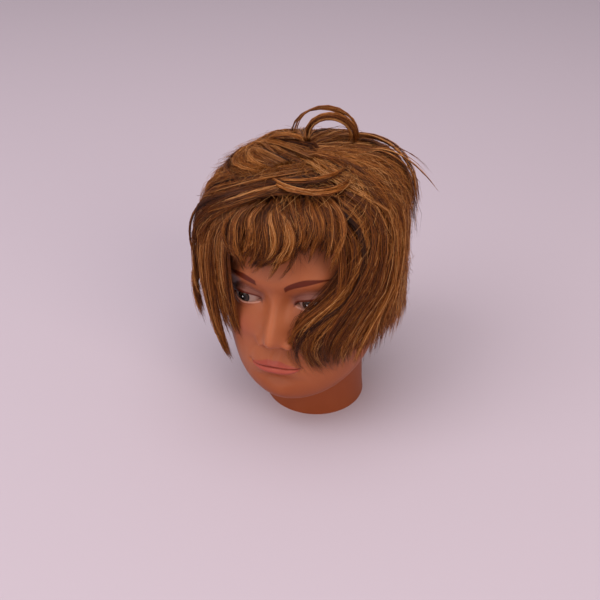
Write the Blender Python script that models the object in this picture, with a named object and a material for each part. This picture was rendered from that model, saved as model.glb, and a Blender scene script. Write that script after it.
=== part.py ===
"""Mannequin training head for hair practice: a tan vinyl head and neck on a flat base, with rooted hair.

Frame: metres, +Z up, the face looks along -Y and +X is the head's own left. The origin is on the table,
at the axis of the clamp socket in the neck. Shapes are worked out in millimetres and scaled once by MM.
"""

import math

import bpy
import bmesh
import numpy as np
from mathutils import Vector
from mathutils.bvhtree import BVHTree

MM = 0.001
GAP = 0.4  # clearance between pieces that touch
LOCK_LIFT = 0.8  # a loose lock's ends above the crown

# Neck, base and clamp socket.
NECK_RADIUS = 45.0
SKIN_WALL = 3.6
FACE_WALL = 12.0  # the cast vinyl is thick behind the features
PLATE_THICKNESS = 4.0
SOCKET_BORE_RADIUS = 12.75
SOCKET_WALL = 2.25
SOCKET_DEPTH = 72.0
SOCKET_END = 3.0
FLANGE_RADIUS = 24.0
FLANGE_THICKNESS = 2.5
FOAM_INSET = 2.0  # from the vinyl to the foam
ROUND_STEPS = 32

# The head leans to its right above the neck.
LEAN = math.radians(4.8)
LEAN_START = 5.0
LEAN_FULL = 45.0
LEAN_PIVOT = 10.0

# Face.
EYE_X = 27.0
EYE_Z = 134.0
EYE_FRONT_Y = -70.5
EYE_INNER_X = 14.0
EYE_OUTER_X = 39.0
EYE_POCKET_Y = -63.5
CROWN_Z = 220.5

# Skin mesh density.
AROUND = 120
ALONG = 96
INNER_STEP = 5  # outer columns for each column of the hidden inside
INNER_ROWS = 22
KEPT_SHARE = 0.26  # the share of those triangles that the finished casting keeps

# Hair envelope.
HAIR_AXIS_X = -3.0
HAIR_AXIS_Y = 8.0
HAIR_HALF_WIDTH = 90.0
HAIR_FRONT = 96.0
HAIR_BACK = 95.0
HAIR_TOP_Z = 231.0
HAIR_CLEARANCE = 1.8
FRINGE_Z = 166.0
CROWN_BASE_Z = 202.0

# Stations of the head, from the table to the crown. Each is a slanted section given by its front point
# (y, z), its back point (y, z), its half width, where along it the widest place is, and the roundness of
# its front and back halves.
STATIONS = (
    (-44.0, 0.0, 46.0, 0.0, 45.0, 0.50, 2.0, 2.0),
    (-43.0, 12.0, 45.0, 13.0, 43.6, 0.50, 2.0, 2.0),
    (-42.5, 24.0, 45.0, 30.0, 43.6, 0.50, 2.0, 2.0),
    (-43.5, 32.0, 46.0, 46.0, 45.0, 0.50, 2.0, 2.0),
    (-49.0, 36.0, 47.0, 60.0, 47.5, 0.50, 1.9, 2.0),
    (-59.0, 36.0, 49.0, 71.0, 50.5, 0.53, 1.75, 2.0),
    (-68.0, 37.0, 53.0, 82.0, 55.5, 0.55, 1.8, 2.0),
    (-73.5, 41.0, 60.0, 92.0, 59.5, 0.56, 2.05, 2.0),
    (-76.0, 50.0, 68.0, 102.0, 62.0, 0.56, 2.3, 2.0),
    (-76.0, 65.0, 76.0, 112.0, 63.5, 0.56, 2.6, 2.05),
    (-75.5, 84.0, 83.0, 124.0, 65.0, 0.56, 2.85, 2.1),
    (-75.0, 104.0, 88.0, 136.0, 66.0, 0.56, 2.9, 2.1),
    (-75.0, 124.0, 90.0, 148.0, 66.5, 0.56, 2.7, 2.15),
    (-76.0, 142.0, 89.0, 160.0, 66.0, 0.56, 2.5, 2.2),
    (-76.0, 159.0, 86.0, 171.0, 64.5, 0.56, 2.4, 2.2),
    (-70.0, 177.0, 79.0, 184.0, 61.0, 0.56, 2.3, 2.2),
    (-61.0, 194.0, 69.0, 196.5, 55.0, 0.55, 2.2, 2.15),
    (-46.0, 207.5, 54.0, 208.5, 44.0, 0.55, 2.1, 2.1),
    (-26.0, 216.5, 36.0, 217.0, 29.0, 0.54, 2.0, 2.0),
    (-8.0, 219.9, 18.0, 220.0, 12.5, 0.52, 2.0, 2.0),
)


def clear_scene():
    for obj in list(bpy.data.objects):
        bpy.data.objects.remove(obj, do_unlink=True)


def smooth_step(value, low, high):
    t = np.clip((value - low) / (high - low), 0.0, 1.0)
    return t * t * (3.0 - 2.0 * t)


def bell(x, z, centre, radii):
    """A smooth bump of height 1 at centre, fading over the radii."""
    return np.exp(-(((x - centre[0]) / radii[0]) ** 2) - ((z - centre[1]) / radii[1]) ** 2)


def spline(values, at):
    """Cubic through evenly numbered values, read at the positions given."""
    values = np.asarray(values, float)
    at = np.clip(at, 0.0, len(values) - 1.0)
    i = np.minimum(at.astype(int), len(values) - 2)
    t = at - i
    before = values[np.maximum(i - 1, 0)]
    here, after = values[i], values[i + 1]
    beyond = values[np.minimum(i + 2, len(values) - 1)]
    rise_here, rise_after = (after - before) / 2, (beyond - here) / 2
    return (
        (2 * t**3 - 3 * t**2 + 1) * here
        + (t**3 - 2 * t**2 + t) * rise_here
        + (-2 * t**3 + 3 * t**2) * after
        + (t**3 - t**2) * rise_after
    )


def plain_head(angle, level):
    """Points of the head without features. angle is 0 at the face and grows towards +X; level numbers STATIONS."""
    columns = np.array(STATIONS).T
    front_y, front_z, back_y, back_z, width, widest, round_front, round_back = (
        spline(column, level) for column in columns
    )
    centre_y = front_y + widest * (back_y - front_y)
    centre_z = front_z + widest * (back_z - front_z)
    cosine, sine = np.cos(angle), np.sin(angle)
    facing = cosine >= 0
    power = 2.0 / np.where(facing, round_front, round_back)
    along = np.abs(cosine) ** power
    x = np.sign(sine) * np.abs(sine) ** power * width
    end_y = np.where(facing, front_y, back_y)
    end_z = np.where(facing, front_z, back_z)
    y = centre_y + along * (end_y - centre_y)
    z = centre_z + along * (end_z - centre_z)
    return np.stack([x, y, z], axis=-1)


def lip_line(x):
    """Height of the closed mouth."""
    return 74.5 - 1.0 * (x / 22.0) ** 2


def face_relief(x, z):
    """How far the features stand out of the plain head towards -Y."""
    side = np.abs(x)
    bridge = 2.0 + 13.5 * smooth_step(-z, -139.0, -102.0)
    nose_length = smooth_step(z, 90.5, 100.5) * (1.0 - smooth_step(z, 134.0, 146.0))
    nose_width = 5.2 + 3.6 * smooth_step(-z, -132.0, -102.0)
    relief = bridge * nose_length * np.exp(-np.abs(x / nose_width) ** 2.3)
    relief += 7.0 * bell(side, z, (10.5, 96.5), (5.2, 5.6))
    relief -= 7.5 * bell(side, z, (25.0, 137.0), (17.0, 11.0))
    relief -= 3.5 * bell(side, z, (11.5, 135.5), (6.0, 8.0))
    relief += 2.0 * bell(side, z, (24.0, 154.0), (20.0, 7.0))
    relief += 3.5 * bell(side, z, (37.0, 113.0), (15.0, 13.0))
    relief -= 2.0 * bell(side, z, (38.0, 84.0), (13.0, 14.0))
    relief += 6.0 * bell(x, z, (0.0, 75.0), (25.0, 16.0))
    relief += 3.0 * bell(x, z, (0.0, 78.5), (17.0, 3.4))
    relief += 3.6 * bell(x, z, (0.0, 69.8), (15.0, 4.0))
    relief -= 2.4 * np.exp(-(((z - lip_line(x)) / 1.6) ** 2)) * np.exp(-((x / 20.0) ** 4))
    relief -= 3.0 * bell(x, z, (0.0, 60.5), (16.0, 4.5))
    relief += 2.5 * bell(x, z, (0.0, 46.0), (14.0, 9.0))
    return relief


def ear_relief(y, z):
    """How far an ear stands out of the side of the head: a rim round a hollow, with the lobe below."""
    along = (y - 9.0) * 0.96 + (z - 112.0) * 0.26
    up = (z - 112.0) * 0.96 - (y - 9.0) * 0.26
    ring = np.sqrt((along / 12.5) ** 2 + (up / 24.0) ** 2)
    inside = 1.0 - smooth_step(ring, 0.85, 1.12)
    behind = smooth_step(along, -14.0, 10.0)
    return inside * (3.0 + 9.0 * behind) - 6.0 * bell(along, up, (-1.0, 1.0), (6.0, 11.0))


def featured_head(angle, level):
    """The head with its face and ears."""
    points = plain_head(angle, level)
    x, y, z = points[..., 0], points[..., 1], points[..., 2]
    facing = smooth_step(-y, 12.0, 34.0) * smooth_step(z, 37.0, 42.0)
    sideways = smooth_step(np.abs(x), 42.0, 52.0) * smooth_step(z, 76.0, 86.0)
    out = points.copy()
    out[..., 1] -= facing * face_relief(x, z)
    out[..., 0] += np.sign(x) * sideways * ear_relief(y, z)
    return out


def inner_head(angle, level, extra):
    """The surface behind the cast vinyl wall, smaller than the plain head by the wall plus extra."""
    points = plain_head(angle, level)
    x, y, z = points[..., 0], points[..., 1], points[..., 2]
    face = smooth_step(-y, 0.0, 50.0) * smooth_step(z, 30.0, 60.0)
    wall = SKIN_WALL + extra + (FACE_WALL - SKIN_WALL) * face
    centre = np.stack([0 * x, 0 * y + 8.0, np.clip(z, 0.0, 150.0)], axis=-1)
    spoke = points - centre
    length = np.linalg.norm(spoke, axis=-1, keepdims=True)
    return points - spoke / length * np.minimum(wall[..., None] * 1.08, length * 0.9)


def lean(points):
    """Bends the head to its right above the neck, leaving the base flat."""
    points = np.asarray(points, float)
    turn = LEAN * smooth_step(points[:, 2], LEAN_START, LEAN_FULL)
    height = points[:, 2] - LEAN_PIVOT
    cosine, sine = np.cos(turn), np.sin(turn)
    x = points[:, 0] * cosine - height * sine
    z = LEAN_PIVOT + points[:, 0] * sine + height * cosine
    return np.stack([x, points[:, 1], z], axis=1)


def make_material(name, colour, roughness, metallic=0.0):
    material = bpy.data.materials.new(name)
    material.use_nodes = True
    shader = material.node_tree.nodes["Principled BSDF"]
    shader.inputs["Base Color"].default_value = (*colour, 1.0)
    shader.inputs["Roughness"].default_value = roughness
    shader.inputs["Metallic"].default_value = metallic
    return material


def add_mesh(name, points, faces, material):
    """A named object from points in millimetres, with its faces turned outwards."""
    mesh = bpy.data.meshes.new(name)
    mesh.from_pydata([Vector(p) * MM for p in np.asarray(points, float)], [], faces)
    shell = bmesh.new()
    shell.from_mesh(mesh)
    bmesh.ops.recalc_face_normals(shell, faces=shell.faces)
    shell.to_mesh(mesh)
    shell.free()
    mesh.materials.append(material)
    mesh.shade_smooth()
    mesh.set_sharp_from_angle(angle=math.radians(50))
    obj = bpy.data.objects.new(name, mesh)
    bpy.context.scene.collection.objects.link(obj)
    return obj


def grid_faces(rows, columns, start=0, around=True):
    """Quads of a grid whose columns may close on themselves."""
    faces = []
    for r in range(rows - 1):
        for c in range(columns if around else columns - 1):
            right = (c + 1) % columns
            a, b = start + r * columns + c, start + r * columns + right
            faces.append((a, b, b + columns, a + columns))
    return faces


def dome(surface, angles, levels, top):
    """Points and faces of a closed-topped skin: rings of the surface, ending in a pole."""
    rings = [surface(angles, np.full(len(angles), level)) for level in levels]
    points = np.concatenate([*rings, [top]])
    faces = grid_faces(len(levels), len(angles))
    last, pole = (len(levels) - 1) * len(angles), len(points) - 1
    faces += [(last + c, last + (c + 1) % len(angles), pole) for c in range(len(angles))]
    return points, faces


def face_angles(count):
    """Angles round the head, closer together on the face."""
    even = np.linspace(-math.pi, math.pi, count, endpoint=False)
    return even - 0.5 * np.sin(even)


def skin_levels(count):
    return np.linspace(0.0, len(STATIONS) - 1.0, count)


def revolve(profile, closed=True):
    """Points and faces of a turned piece from its (radius, z) outline.

    A closed outline makes a ring. An open one is capped by a flat disc at each end.
    """
    count = len(profile)
    points, faces = [], []
    for s in range(ROUND_STEPS):
        turn = 2 * math.pi * s / ROUND_STEPS
        points += [(r * math.cos(turn), r * math.sin(turn), z) for r, z in profile]
        here, there = s * count, (s + 1) % ROUND_STEPS * count
        for p in range(count if closed else count - 1):
            q = (p + 1) % count
            faces.append((here + p, here + q, there + q, there + p))
    if not closed:
        faces.append(tuple(s * count for s in range(ROUND_STEPS)))
        faces.append(tuple(s * count + count - 1 for s in range(ROUND_STEPS)))
    return points, faces


def eye_outline(margin, count=9):
    """Almond outline of the right-hand eye opening in (x, z), shrunk by margin."""
    half = (EYE_OUTER_X - EYE_INNER_X) / 2
    middle = (EYE_OUTER_X + EYE_INNER_X) / 2
    outline = []
    for i in range(2 * count):
        upper = i < count
        t = -1 + 2 * (i % count) / count
        t = t if upper else -t
        bow = 1 - t * t
        slant = 1.3 * t
        height = 5.6 * bow**0.8 if upper else -3.9 * bow
        outline.append((middle + t * half, EYE_Z + slant + height))
    centre = np.array([middle, EYE_Z])
    outline = np.array(outline)
    reach = np.linalg.norm(outline - centre, axis=1, keepdims=True)
    return outline - (outline - centre) / reach * margin


def prism(outline, near, far):
    """Points and faces of an outline in (x, z) pulled along Y."""
    count = len(outline)
    points = [(x, near, z) for x, z in outline] + [(x, far, z) for x, z in outline]
    faces = [tuple(range(count)), tuple(range(2 * count - 1, count - 1, -1))]
    faces += [(i, (i + 1) % count, (i + 1) % count + count, i + count) for i in range(count)]
    return points, faces


def apply_boolean(obj, other, operation):
    """Cuts obj by other, or keeps what they share, and removes other."""
    modifier = obj.modifiers.new("cut", "BOOLEAN")
    modifier.operation = operation
    modifier.object = other
    modifier.solver = "EXACT"
    keep_evaluated(obj)
    bpy.data.objects.remove(other, do_unlink=True)


def lean_object(obj):
    count = len(obj.data.vertices)
    flat = np.empty(count * 3, np.float32)
    obj.data.vertices.foreach_get("co", flat)
    moved = lean(flat.reshape(-1, 3) / MM) * MM
    obj.data.vertices.foreach_set("co", moved.astype(np.float32).ravel())
    obj.data.update()


def make_skin(material):
    """The vinyl face, ears, scalp and neck, one casting that is open below."""
    angles = face_angles(AROUND)
    outer, faces = dome(featured_head, angles, skin_levels(ALONG), (0.0, 5.0, CROWN_Z))
    few = angles[::INNER_STEP]
    inner, inner_faces = dome(
        lambda a, v: inner_head(a, v, 0.0), few, skin_levels(INNER_ROWS), (0.0, 5.0, CROWN_Z - SKIN_WALL)
    )
    inner[: len(few), 2] = 0.0
    start = len(outer)
    faces += [tuple(start + i for i in reversed(face)) for face in inner_faces]
    for c in range(len(few)):
        edge = [(INNER_STEP * c + i) % len(angles) for i in range(INNER_STEP + 1)]
        faces.append((start + c, *edge, start + (c + 1) % len(few)))
    skin = add_mesh("vinyl_skin", np.concatenate([outer, inner]), faces, material)
    thin_out(skin, KEPT_SHARE)
    return skin


def thin_out(obj, share):
    """Merges small triangles where the surface is plain, which leaves them where it has features."""
    modifier = obj.modifiers.new("thin_out", "DECIMATE")
    modifier.ratio = share
    modifier.use_collapse_triangulate = True
    keep_evaluated(obj)


def keep_evaluated(obj):
    """Replaces an object's mesh by what its modifiers make of it."""
    graph = bpy.context.evaluated_depsgraph_get()
    mesh = bpy.data.meshes.new_from_object(obj.evaluated_get(graph))
    obj.modifiers.clear()
    obj.data = mesh
    obj.data.shade_smooth()
    obj.data.set_sharp_from_angle(angle=math.radians(50))


def make_foam(material):
    """The rigid foam that fills the vinyl, bored for the clamp socket."""
    few = face_angles(AROUND)[::INNER_STEP]
    levels = skin_levels(INNER_ROWS)[1:]
    points, faces = dome(
        lambda a, v: inner_head(a, v, FOAM_INSET), few, levels, (0.0, 5.0, CROWN_Z - SKIN_WALL - FOAM_INSET)
    )
    points[: len(few), 2] = PLATE_THICKNESS + FLANGE_THICKNESS + 2 * GAP
    faces.append(tuple(range(len(few))))
    foam = add_mesh("foam_core", points, faces, material)
    lean_object(foam)
    radius = SOCKET_BORE_RADIUS + SOCKET_WALL + GAP
    bore = ((radius, -5.0), (radius, SOCKET_DEPTH + SOCKET_END + GAP))
    apply_boolean(foam, add_mesh("bore", *revolve(bore, closed=False), material), "DIFFERENCE")


def make_socket(material):
    """The plastic tube that a table clamp's post goes up into, closed at the top."""
    outer = SOCKET_BORE_RADIUS + SOCKET_WALL
    flange_z = PLATE_THICKNESS + GAP
    profile = (
        (outer, SOCKET_DEPTH + SOCKET_END),
        (outer, flange_z + FLANGE_THICKNESS),
        (FLANGE_RADIUS, flange_z + FLANGE_THICKNESS),
        (FLANGE_RADIUS, flange_z),
        (outer, flange_z),
        (outer, 0.0),
        (SOCKET_BORE_RADIUS, 0.0),
        (SOCKET_BORE_RADIUS, SOCKET_DEPTH),
    )
    add_mesh("clamp_socket", *revolve(profile, closed=False), material)


def make_base_plate(material):
    """The disc that closes the neck, with the hole that the socket shows through."""
    hole = SOCKET_BORE_RADIUS + SOCKET_WALL + GAP
    rim = NECK_RADIUS - SKIN_WALL - 2.2
    profile = (
        (hole, 0.0),
        (rim - 0.8, 0.0),
        (rim, 0.8),
        (rim, PLATE_THICKNESS),
        (hole, PLATE_THICKNESS),
    )
    add_mesh("base_plate", *revolve(profile), material)


def make_eye(name, side, skin, material):
    """An eye that fills the opening between the lids, and the pocket for it in the skin."""
    outline = eye_outline(0.0) * (side, 1)
    pocket = add_mesh("pocket", *prism(outline, -110.0, EYE_POCKET_Y), material)
    apply_boolean(skin, pocket, "DIFFERENCE")
    bpy.ops.mesh.primitive_uv_sphere_add(segments=48, ring_count=24)
    eye = bpy.context.object
    eye.name = name
    eye.data.name = name
    eye.scale = (16.5 * MM, 12.5 * MM, 14.0 * MM)
    eye.rotation_euler = (0.0, 0.0, side * math.radians(10.0))
    eye.location = (side * EYE_X * MM, (EYE_FRONT_Y + 12.5) * MM, EYE_Z * MM)
    bpy.ops.object.transform_apply(location=True, rotation=True, scale=True)
    eye.data.materials.append(material)
    inlay = add_mesh(
        "inlay", *prism(eye_outline(GAP) * (side, 1), -100.0, EYE_POCKET_Y - GAP), material
    )
    apply_boolean(eye, inlay, "INTERSECT")
    return eye


def tube(path, radii, sides=6):
    """Points and faces of a closed tube along a path."""
    path = np.asarray(path, float)
    points, faces = [], []
    ahead = np.gradient(path, axis=0)
    ahead /= np.linalg.norm(ahead, axis=1, keepdims=True)
    across = np.cross(ahead[0], (0.0, 0.0, 1.0))
    if np.linalg.norm(across) < 0.1:
        across = np.cross(ahead[0], (1.0, 0.0, 0.0))
    for centre, direction, radius in zip(path, ahead, radii):
        across -= direction * (across @ direction)
        across /= np.linalg.norm(across)
        other = np.cross(direction, across)
        for s in range(sides):
            turn = 2 * math.pi * s / sides
            points.append(centre + radius * (math.cos(turn) * across + math.sin(turn) * other))
    faces = grid_faces(len(path), sides)
    last = (len(path) - 1) * sides
    faces.append(tuple(reversed(range(sides))))
    faces.append(tuple(range(last, last + sides)))
    return points, faces


def hair_radius(angle, z):
    """How far the hair reaches from its axis, at an angle from the face and a height."""
    sine, cosine = np.abs(np.sin(angle)), np.cos(angle)
    depth = np.where(cosine >= 0, HAIR_FRONT, HAIR_BACK)
    reach = ((sine / HAIR_HALF_WIDTH) ** 2.3 + (np.abs(cosine) / depth) ** 2.3) ** (-1 / 2.3)
    up = np.clip((z - 150.0) / (HAIR_TOP_Z - 150.0), 0.0, 1.0)
    down = np.clip((120.0 - z) / 80.0, 0.0, 1.0)
    return reach * (1 - up**3.2) ** (1 / 2.4) * (1 - 0.07 * down)


def skin_radius(tree, angle, z):
    """Distance from the hair's axis to the skin at an angle and a height, or 0 where there is none."""
    outward = Vector((math.sin(angle), -math.cos(angle), 0.0))
    axis = Vector((HAIR_AXIS_X, HAIR_AXIS_Y, z)) * MM
    origin = axis + outward * 0.2
    hit = tree.ray_cast(origin, -outward, 0.2)[0]
    if hit is None:
        return 0.0
    return (hit - axis).dot(outward) / MM


def skin_near(tree, angle, z):
    """The farthest that the skin reaches round about an angle and a height."""
    turns = (-0.09, -0.045, 0.0, 0.045, 0.09)
    rises = (-8.0, -4.0, 0.0, 4.0, 8.0)
    return max(skin_radius(tree, angle + turn, z + rise) for turn in turns for rise in rises)


def on_axis(angle, radius, z):
    return (HAIR_AXIS_X + radius * math.sin(angle), HAIR_AXIS_Y - radius * math.cos(angle), z)


def make_lock(name, tree, angles, heights, thickness, material, across=7, along=9):
    """One section of hair: a slab that follows the head and then hangs.

    angles(z) gives the section's two side angles at a height, and heights its lower and upper end.
    """
    outer, inner = [], []
    for j in range(along):
        t = j / (along - 1)
        z = heights[0] + t * (heights[1] - heights[0])
        low, high = angles(z)
        for i in range(across):
            angle = math.radians(low + (high - low) * i / (across - 1))
            reach = float(hair_radius(angle, z))
            near = skin_near(tree, angle, z)
            floor = max(near + HAIR_CLEARANCE, reach - thickness)
            reach = max(reach, floor + 2.0)
            outer.append(on_axis(angle, reach, z))
            inner.append(on_axis(angle, floor, z))
    count = len(outer)
    faces = grid_faces(along, across, 0, around=False)
    faces += [tuple(count + i for i in reversed(face)) for face in faces]
    border = list(range(across))
    border += [j * across + across - 1 for j in range(1, along)]
    border += [(along - 1) * across + i for i in reversed(range(across - 1))]
    border += [j * across for j in reversed(range(1, along - 1))]
    faces += [
        (a, b, b + count, a + count) for a, b in zip(border, border[1:] + border[:1])
    ]
    return add_mesh(name, outer + inner, faces, material)


def make_crown(tree, material):
    """The top of the hair, a cap over the crown."""
    around = 26
    heights = (CROWN_BASE_Z, 209.0, 215.5, 221.5, 226.0, 229.3)
    angles = [2 * math.pi * i / around for i in range(around)]
    outer = [on_axis(a, float(hair_radius(a, z)), z) for z in heights for a in angles]
    inner_heights = (CROWN_BASE_Z, 208.0, 214.0, 219.0)
    inner = []
    for z in inner_heights:
        for a in angles:
            near = [skin_radius(tree, a, z + dz) for dz in (-3, 0, 3)]
            inner.append(on_axis(a, max(max(near) + 2.5, 14.0), z))
    points = outer + [(HAIR_AXIS_X, HAIR_AXIS_Y, HAIR_TOP_Z)] + inner + [(HAIR_AXIS_X, HAIR_AXIS_Y, 223.5)]
    start = len(outer) + 1
    faces = grid_faces(len(heights), around)
    last = (len(heights) - 1) * around
    faces += [(last + c, last + (c + 1) % around, len(outer)) for c in range(around)]
    faces += [tuple(start + i for i in reversed(f)) for f in grid_faces(len(inner_heights), around)]
    last = start + (len(inner_heights) - 1) * around
    faces += [(last + (c + 1) % around, last + c, len(points) - 1) for c in range(around)]
    faces += [(c, start + c, start + (c + 1) % around, (c + 1) % around) for c in range(around)]
    return add_mesh("hair_crown", points, faces, material)


def hair_top(x, y):
    """Height of the crown's outside above a point."""
    angle = math.atan2(x - HAIR_AXIS_X, HAIR_AXIS_Y - y)
    reach = math.hypot(x - HAIR_AXIS_X, y - HAIR_AXIS_Y)
    low, high = 150.0, HAIR_TOP_Z
    for _ in range(30):
        middle = (low + high) / 2
        low, high = (middle, high) if hair_radius(angle, middle) > reach else (low, middle)
    return low


def arch(start, end, rise, radius, count=13):
    """Centre line of a lock that springs off the crown at start and lands on it at end, given as (x, y)."""
    path = []
    for i in range(count):
        t = i / (count - 1)
        a = math.pi * t
        x = (start[0] + end[0]) / 2 - (end[0] - start[0]) / 2 * math.cos(a)
        y = (start[1] + end[1]) / 2 - (end[1] - start[1]) / 2 * math.cos(a)
        foot = hair_top(*start) * (1 - t) + hair_top(*end) * t
        path.append((x, y, foot + LOCK_LIFT + 0.3 * radius + rise * math.sin(a)))
    return path


def make_loose_locks(material):
    """The curls and the stray lock that stand clear of the rest."""
    thick = arch((-6.0, 12.0), (38.0, 25.0), 24.0, 4.0)
    thin = arch((-22.0, 20.0), (27.0, 34.0), 24.0, 2.2)
    stray = []
    root = (50.0, 30.0)
    for t in np.linspace(0.0, 1.0, 10):
        height = hair_top(*root) + LOCK_LIFT + 5.0 + 10.0 * t - 40.0 * t * t
        stray.append((root[0] + 52.0 * t, root[1] + 8.0 * t, height))
    return [
        add_mesh("hair_crown_loop", *tube(thick, [4.0] * len(thick)), material),
        add_mesh("hair_crown_loop_thin", *tube(thin, [2.2] * len(thin)), material),
        add_mesh("hair_stray_lock", *tube(stray, np.linspace(4.0, 2.0, 10)), material),
    ]


def surface_tree(objects):
    """One search tree over the surfaces of several objects."""
    shell = bmesh.new()
    for obj in objects:
        shell.from_mesh(obj.data)
    tree = BVHTree.FromBMesh(shell)
    shell.free()
    return tree


def make_hair(under, material):
    """Every section of hair, laid over the pieces named in under."""
    tree = surface_tree(under)
    top = CROWN_BASE_Z - GAP

    def straight(low, high):
        return lambda z: (low, high)

    def swung(low, high, low_swing, high_swing):
        """Side edges that swing round the head below the fringe."""
        return lambda z: (
            low + low_swing * smooth_step(FRINGE_Z - z, 0.0, 55.0),
            high + high_swing * smooth_step(FRINGE_Z - z, 0.0, 30.0),
        )

    sections = (
        ("hair_fringe", straight(-39, 32), (FRINGE_Z, top), 15.0),
        ("hair_left_front", swung(33, 74, -13, 0), (62.0, top), 17.0),
        ("hair_left_side", straight(75.5, 116), (66.0, top), 20.0),
        ("hair_back_left", straight(117.5, 179), (98.0, top), 20.0),
        ("hair_back_right", straight(-179, -117.5), (98.0, top), 20.0),
        ("hair_right_side", straight(-116, -75.5), (66.0, top), 20.0),
        ("hair_right_front", swung(-74, -40.5, 0, -14), (60.0, top), 17.0),
        ("hair_nape_left", straight(117.5, 179), (58.0, 97.0), 20.0),
        ("hair_nape_right", straight(-179, -117.5), (58.0, 97.0), 20.0),
    )
    pieces = [make_lock(name, tree, *section, material) for name, *section in sections]
    return [*pieces, make_crown(tree, material), *make_loose_locks(material)]


def main():
    clear_scene()
    vinyl = make_material("vinyl", (0.50, 0.22, 0.12), 0.45)
    foam = make_material("foam", (0.80, 0.74, 0.58), 0.9)
    plastic = make_material("plastic", (0.45, 0.24, 0.15), 0.5)
    eye = make_material("eye", (0.75, 0.70, 0.66), 0.15)
    hair = make_material("hair", (0.27, 0.13, 0.05), 0.5)
    skin = make_skin(vinyl)
    eyes = [make_eye(f"{name}_eye", side, skin, eye) for name, side in (("left", 1), ("right", -1))]
    head = [skin, *eyes]
    for piece in [*head, *make_hair(head, hair)]:
        lean_object(piece)
    make_foam(foam)
    make_socket(plastic)
    make_base_plate(plastic)


main()
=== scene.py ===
"""The looks of the mannequin training head: painted vinyl face, glossy eyes and rooted, tousled hair.

Shapes are worked out in millimetres in the head's own upright frame, then leaned as the neck leans and
scaled by MM. The face looks along -Y, +X is the head's own left and the table is z = 0.
"""

import math

import bpy
import bmesh
import numpy as np
from mathutils import Matrix, Vector


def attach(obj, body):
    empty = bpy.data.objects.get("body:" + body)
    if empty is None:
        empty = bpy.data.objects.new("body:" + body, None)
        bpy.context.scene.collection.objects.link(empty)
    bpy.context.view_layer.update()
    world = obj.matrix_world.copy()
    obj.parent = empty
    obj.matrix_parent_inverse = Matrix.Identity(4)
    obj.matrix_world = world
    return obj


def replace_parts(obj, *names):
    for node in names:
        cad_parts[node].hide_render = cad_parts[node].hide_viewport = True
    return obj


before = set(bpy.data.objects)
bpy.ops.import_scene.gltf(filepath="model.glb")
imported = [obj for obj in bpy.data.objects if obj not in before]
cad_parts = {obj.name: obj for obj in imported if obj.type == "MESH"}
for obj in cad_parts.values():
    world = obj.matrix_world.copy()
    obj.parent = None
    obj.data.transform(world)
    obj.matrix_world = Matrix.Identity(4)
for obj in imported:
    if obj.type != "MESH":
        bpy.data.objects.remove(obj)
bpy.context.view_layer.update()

MM = 0.001
RANDOM = np.random.default_rng(7)

# The head leans to its right about the height LEAN_PIVOT: not at all at LEAN_START, fully at LEAN_FULL.
LEAN = math.radians(4.8)
LEAN_START = 5
LEAN_FULL = 45
LEAN_PIVOT = 10

# Face, neck and casting.
EYE_X = 27
EYE_Z = 134
EYE_FRONT_Y = -70.5
EYE_INNER_X = 13.6
EYE_OUTER_X = 39.4
EYE_MIDDLE_X = (EYE_OUTER_X + EYE_INNER_X) / 2
EYE_HALF = (EYE_OUTER_X - EYE_INNER_X) / 2
BALL_RADIUS = 12.6
CUT_FRONT_Y = -110  # ends of the cutter that opens each eye
CUT_BACK_Y = -52
CORNEA_RISE = 0.035  # of the ball's radius
CORNEA_REACH = 0.42
GAZE = {1: (-0.1, 0.02), -1: (-0.16, 0.02)}  # sideways and upward turn of each iris
GLINT = (-0.02, 0.03)  # place of the painted glint beside the pupil's middle
MOUTH_Z = 76.9
MOUTH_HALF = 22.5
EAR_Y = 9
EAR_Z = 112
NECK_RADIUS = 45
NECK_INSIDE_Z = 26  # height to which the casting is hollow here
CROWN_Y = 3
CROWN_Z = 220.5
SKIN_WALL = 3.6

# Hair envelope.
HAIR_AXIS_X = -3
HAIR_AXIS_Y = 8
HAIR_HALF_WIDTH = 90
HAIR_FRONT = 96
HAIR_BACK = 95
HAIR_TOP_Z = 231
HAIR_SHOULDER_Z = 150
HAIR_HANG = 90  # height between the drops 1 and 2
HAIR_PLAN = 2.3  # roundness of its plan, its shoulder and its top: 2 is an ellipse, more is squarer
HAIR_EDGE = 2.4
HAIR_CROWN = 3.2

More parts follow.
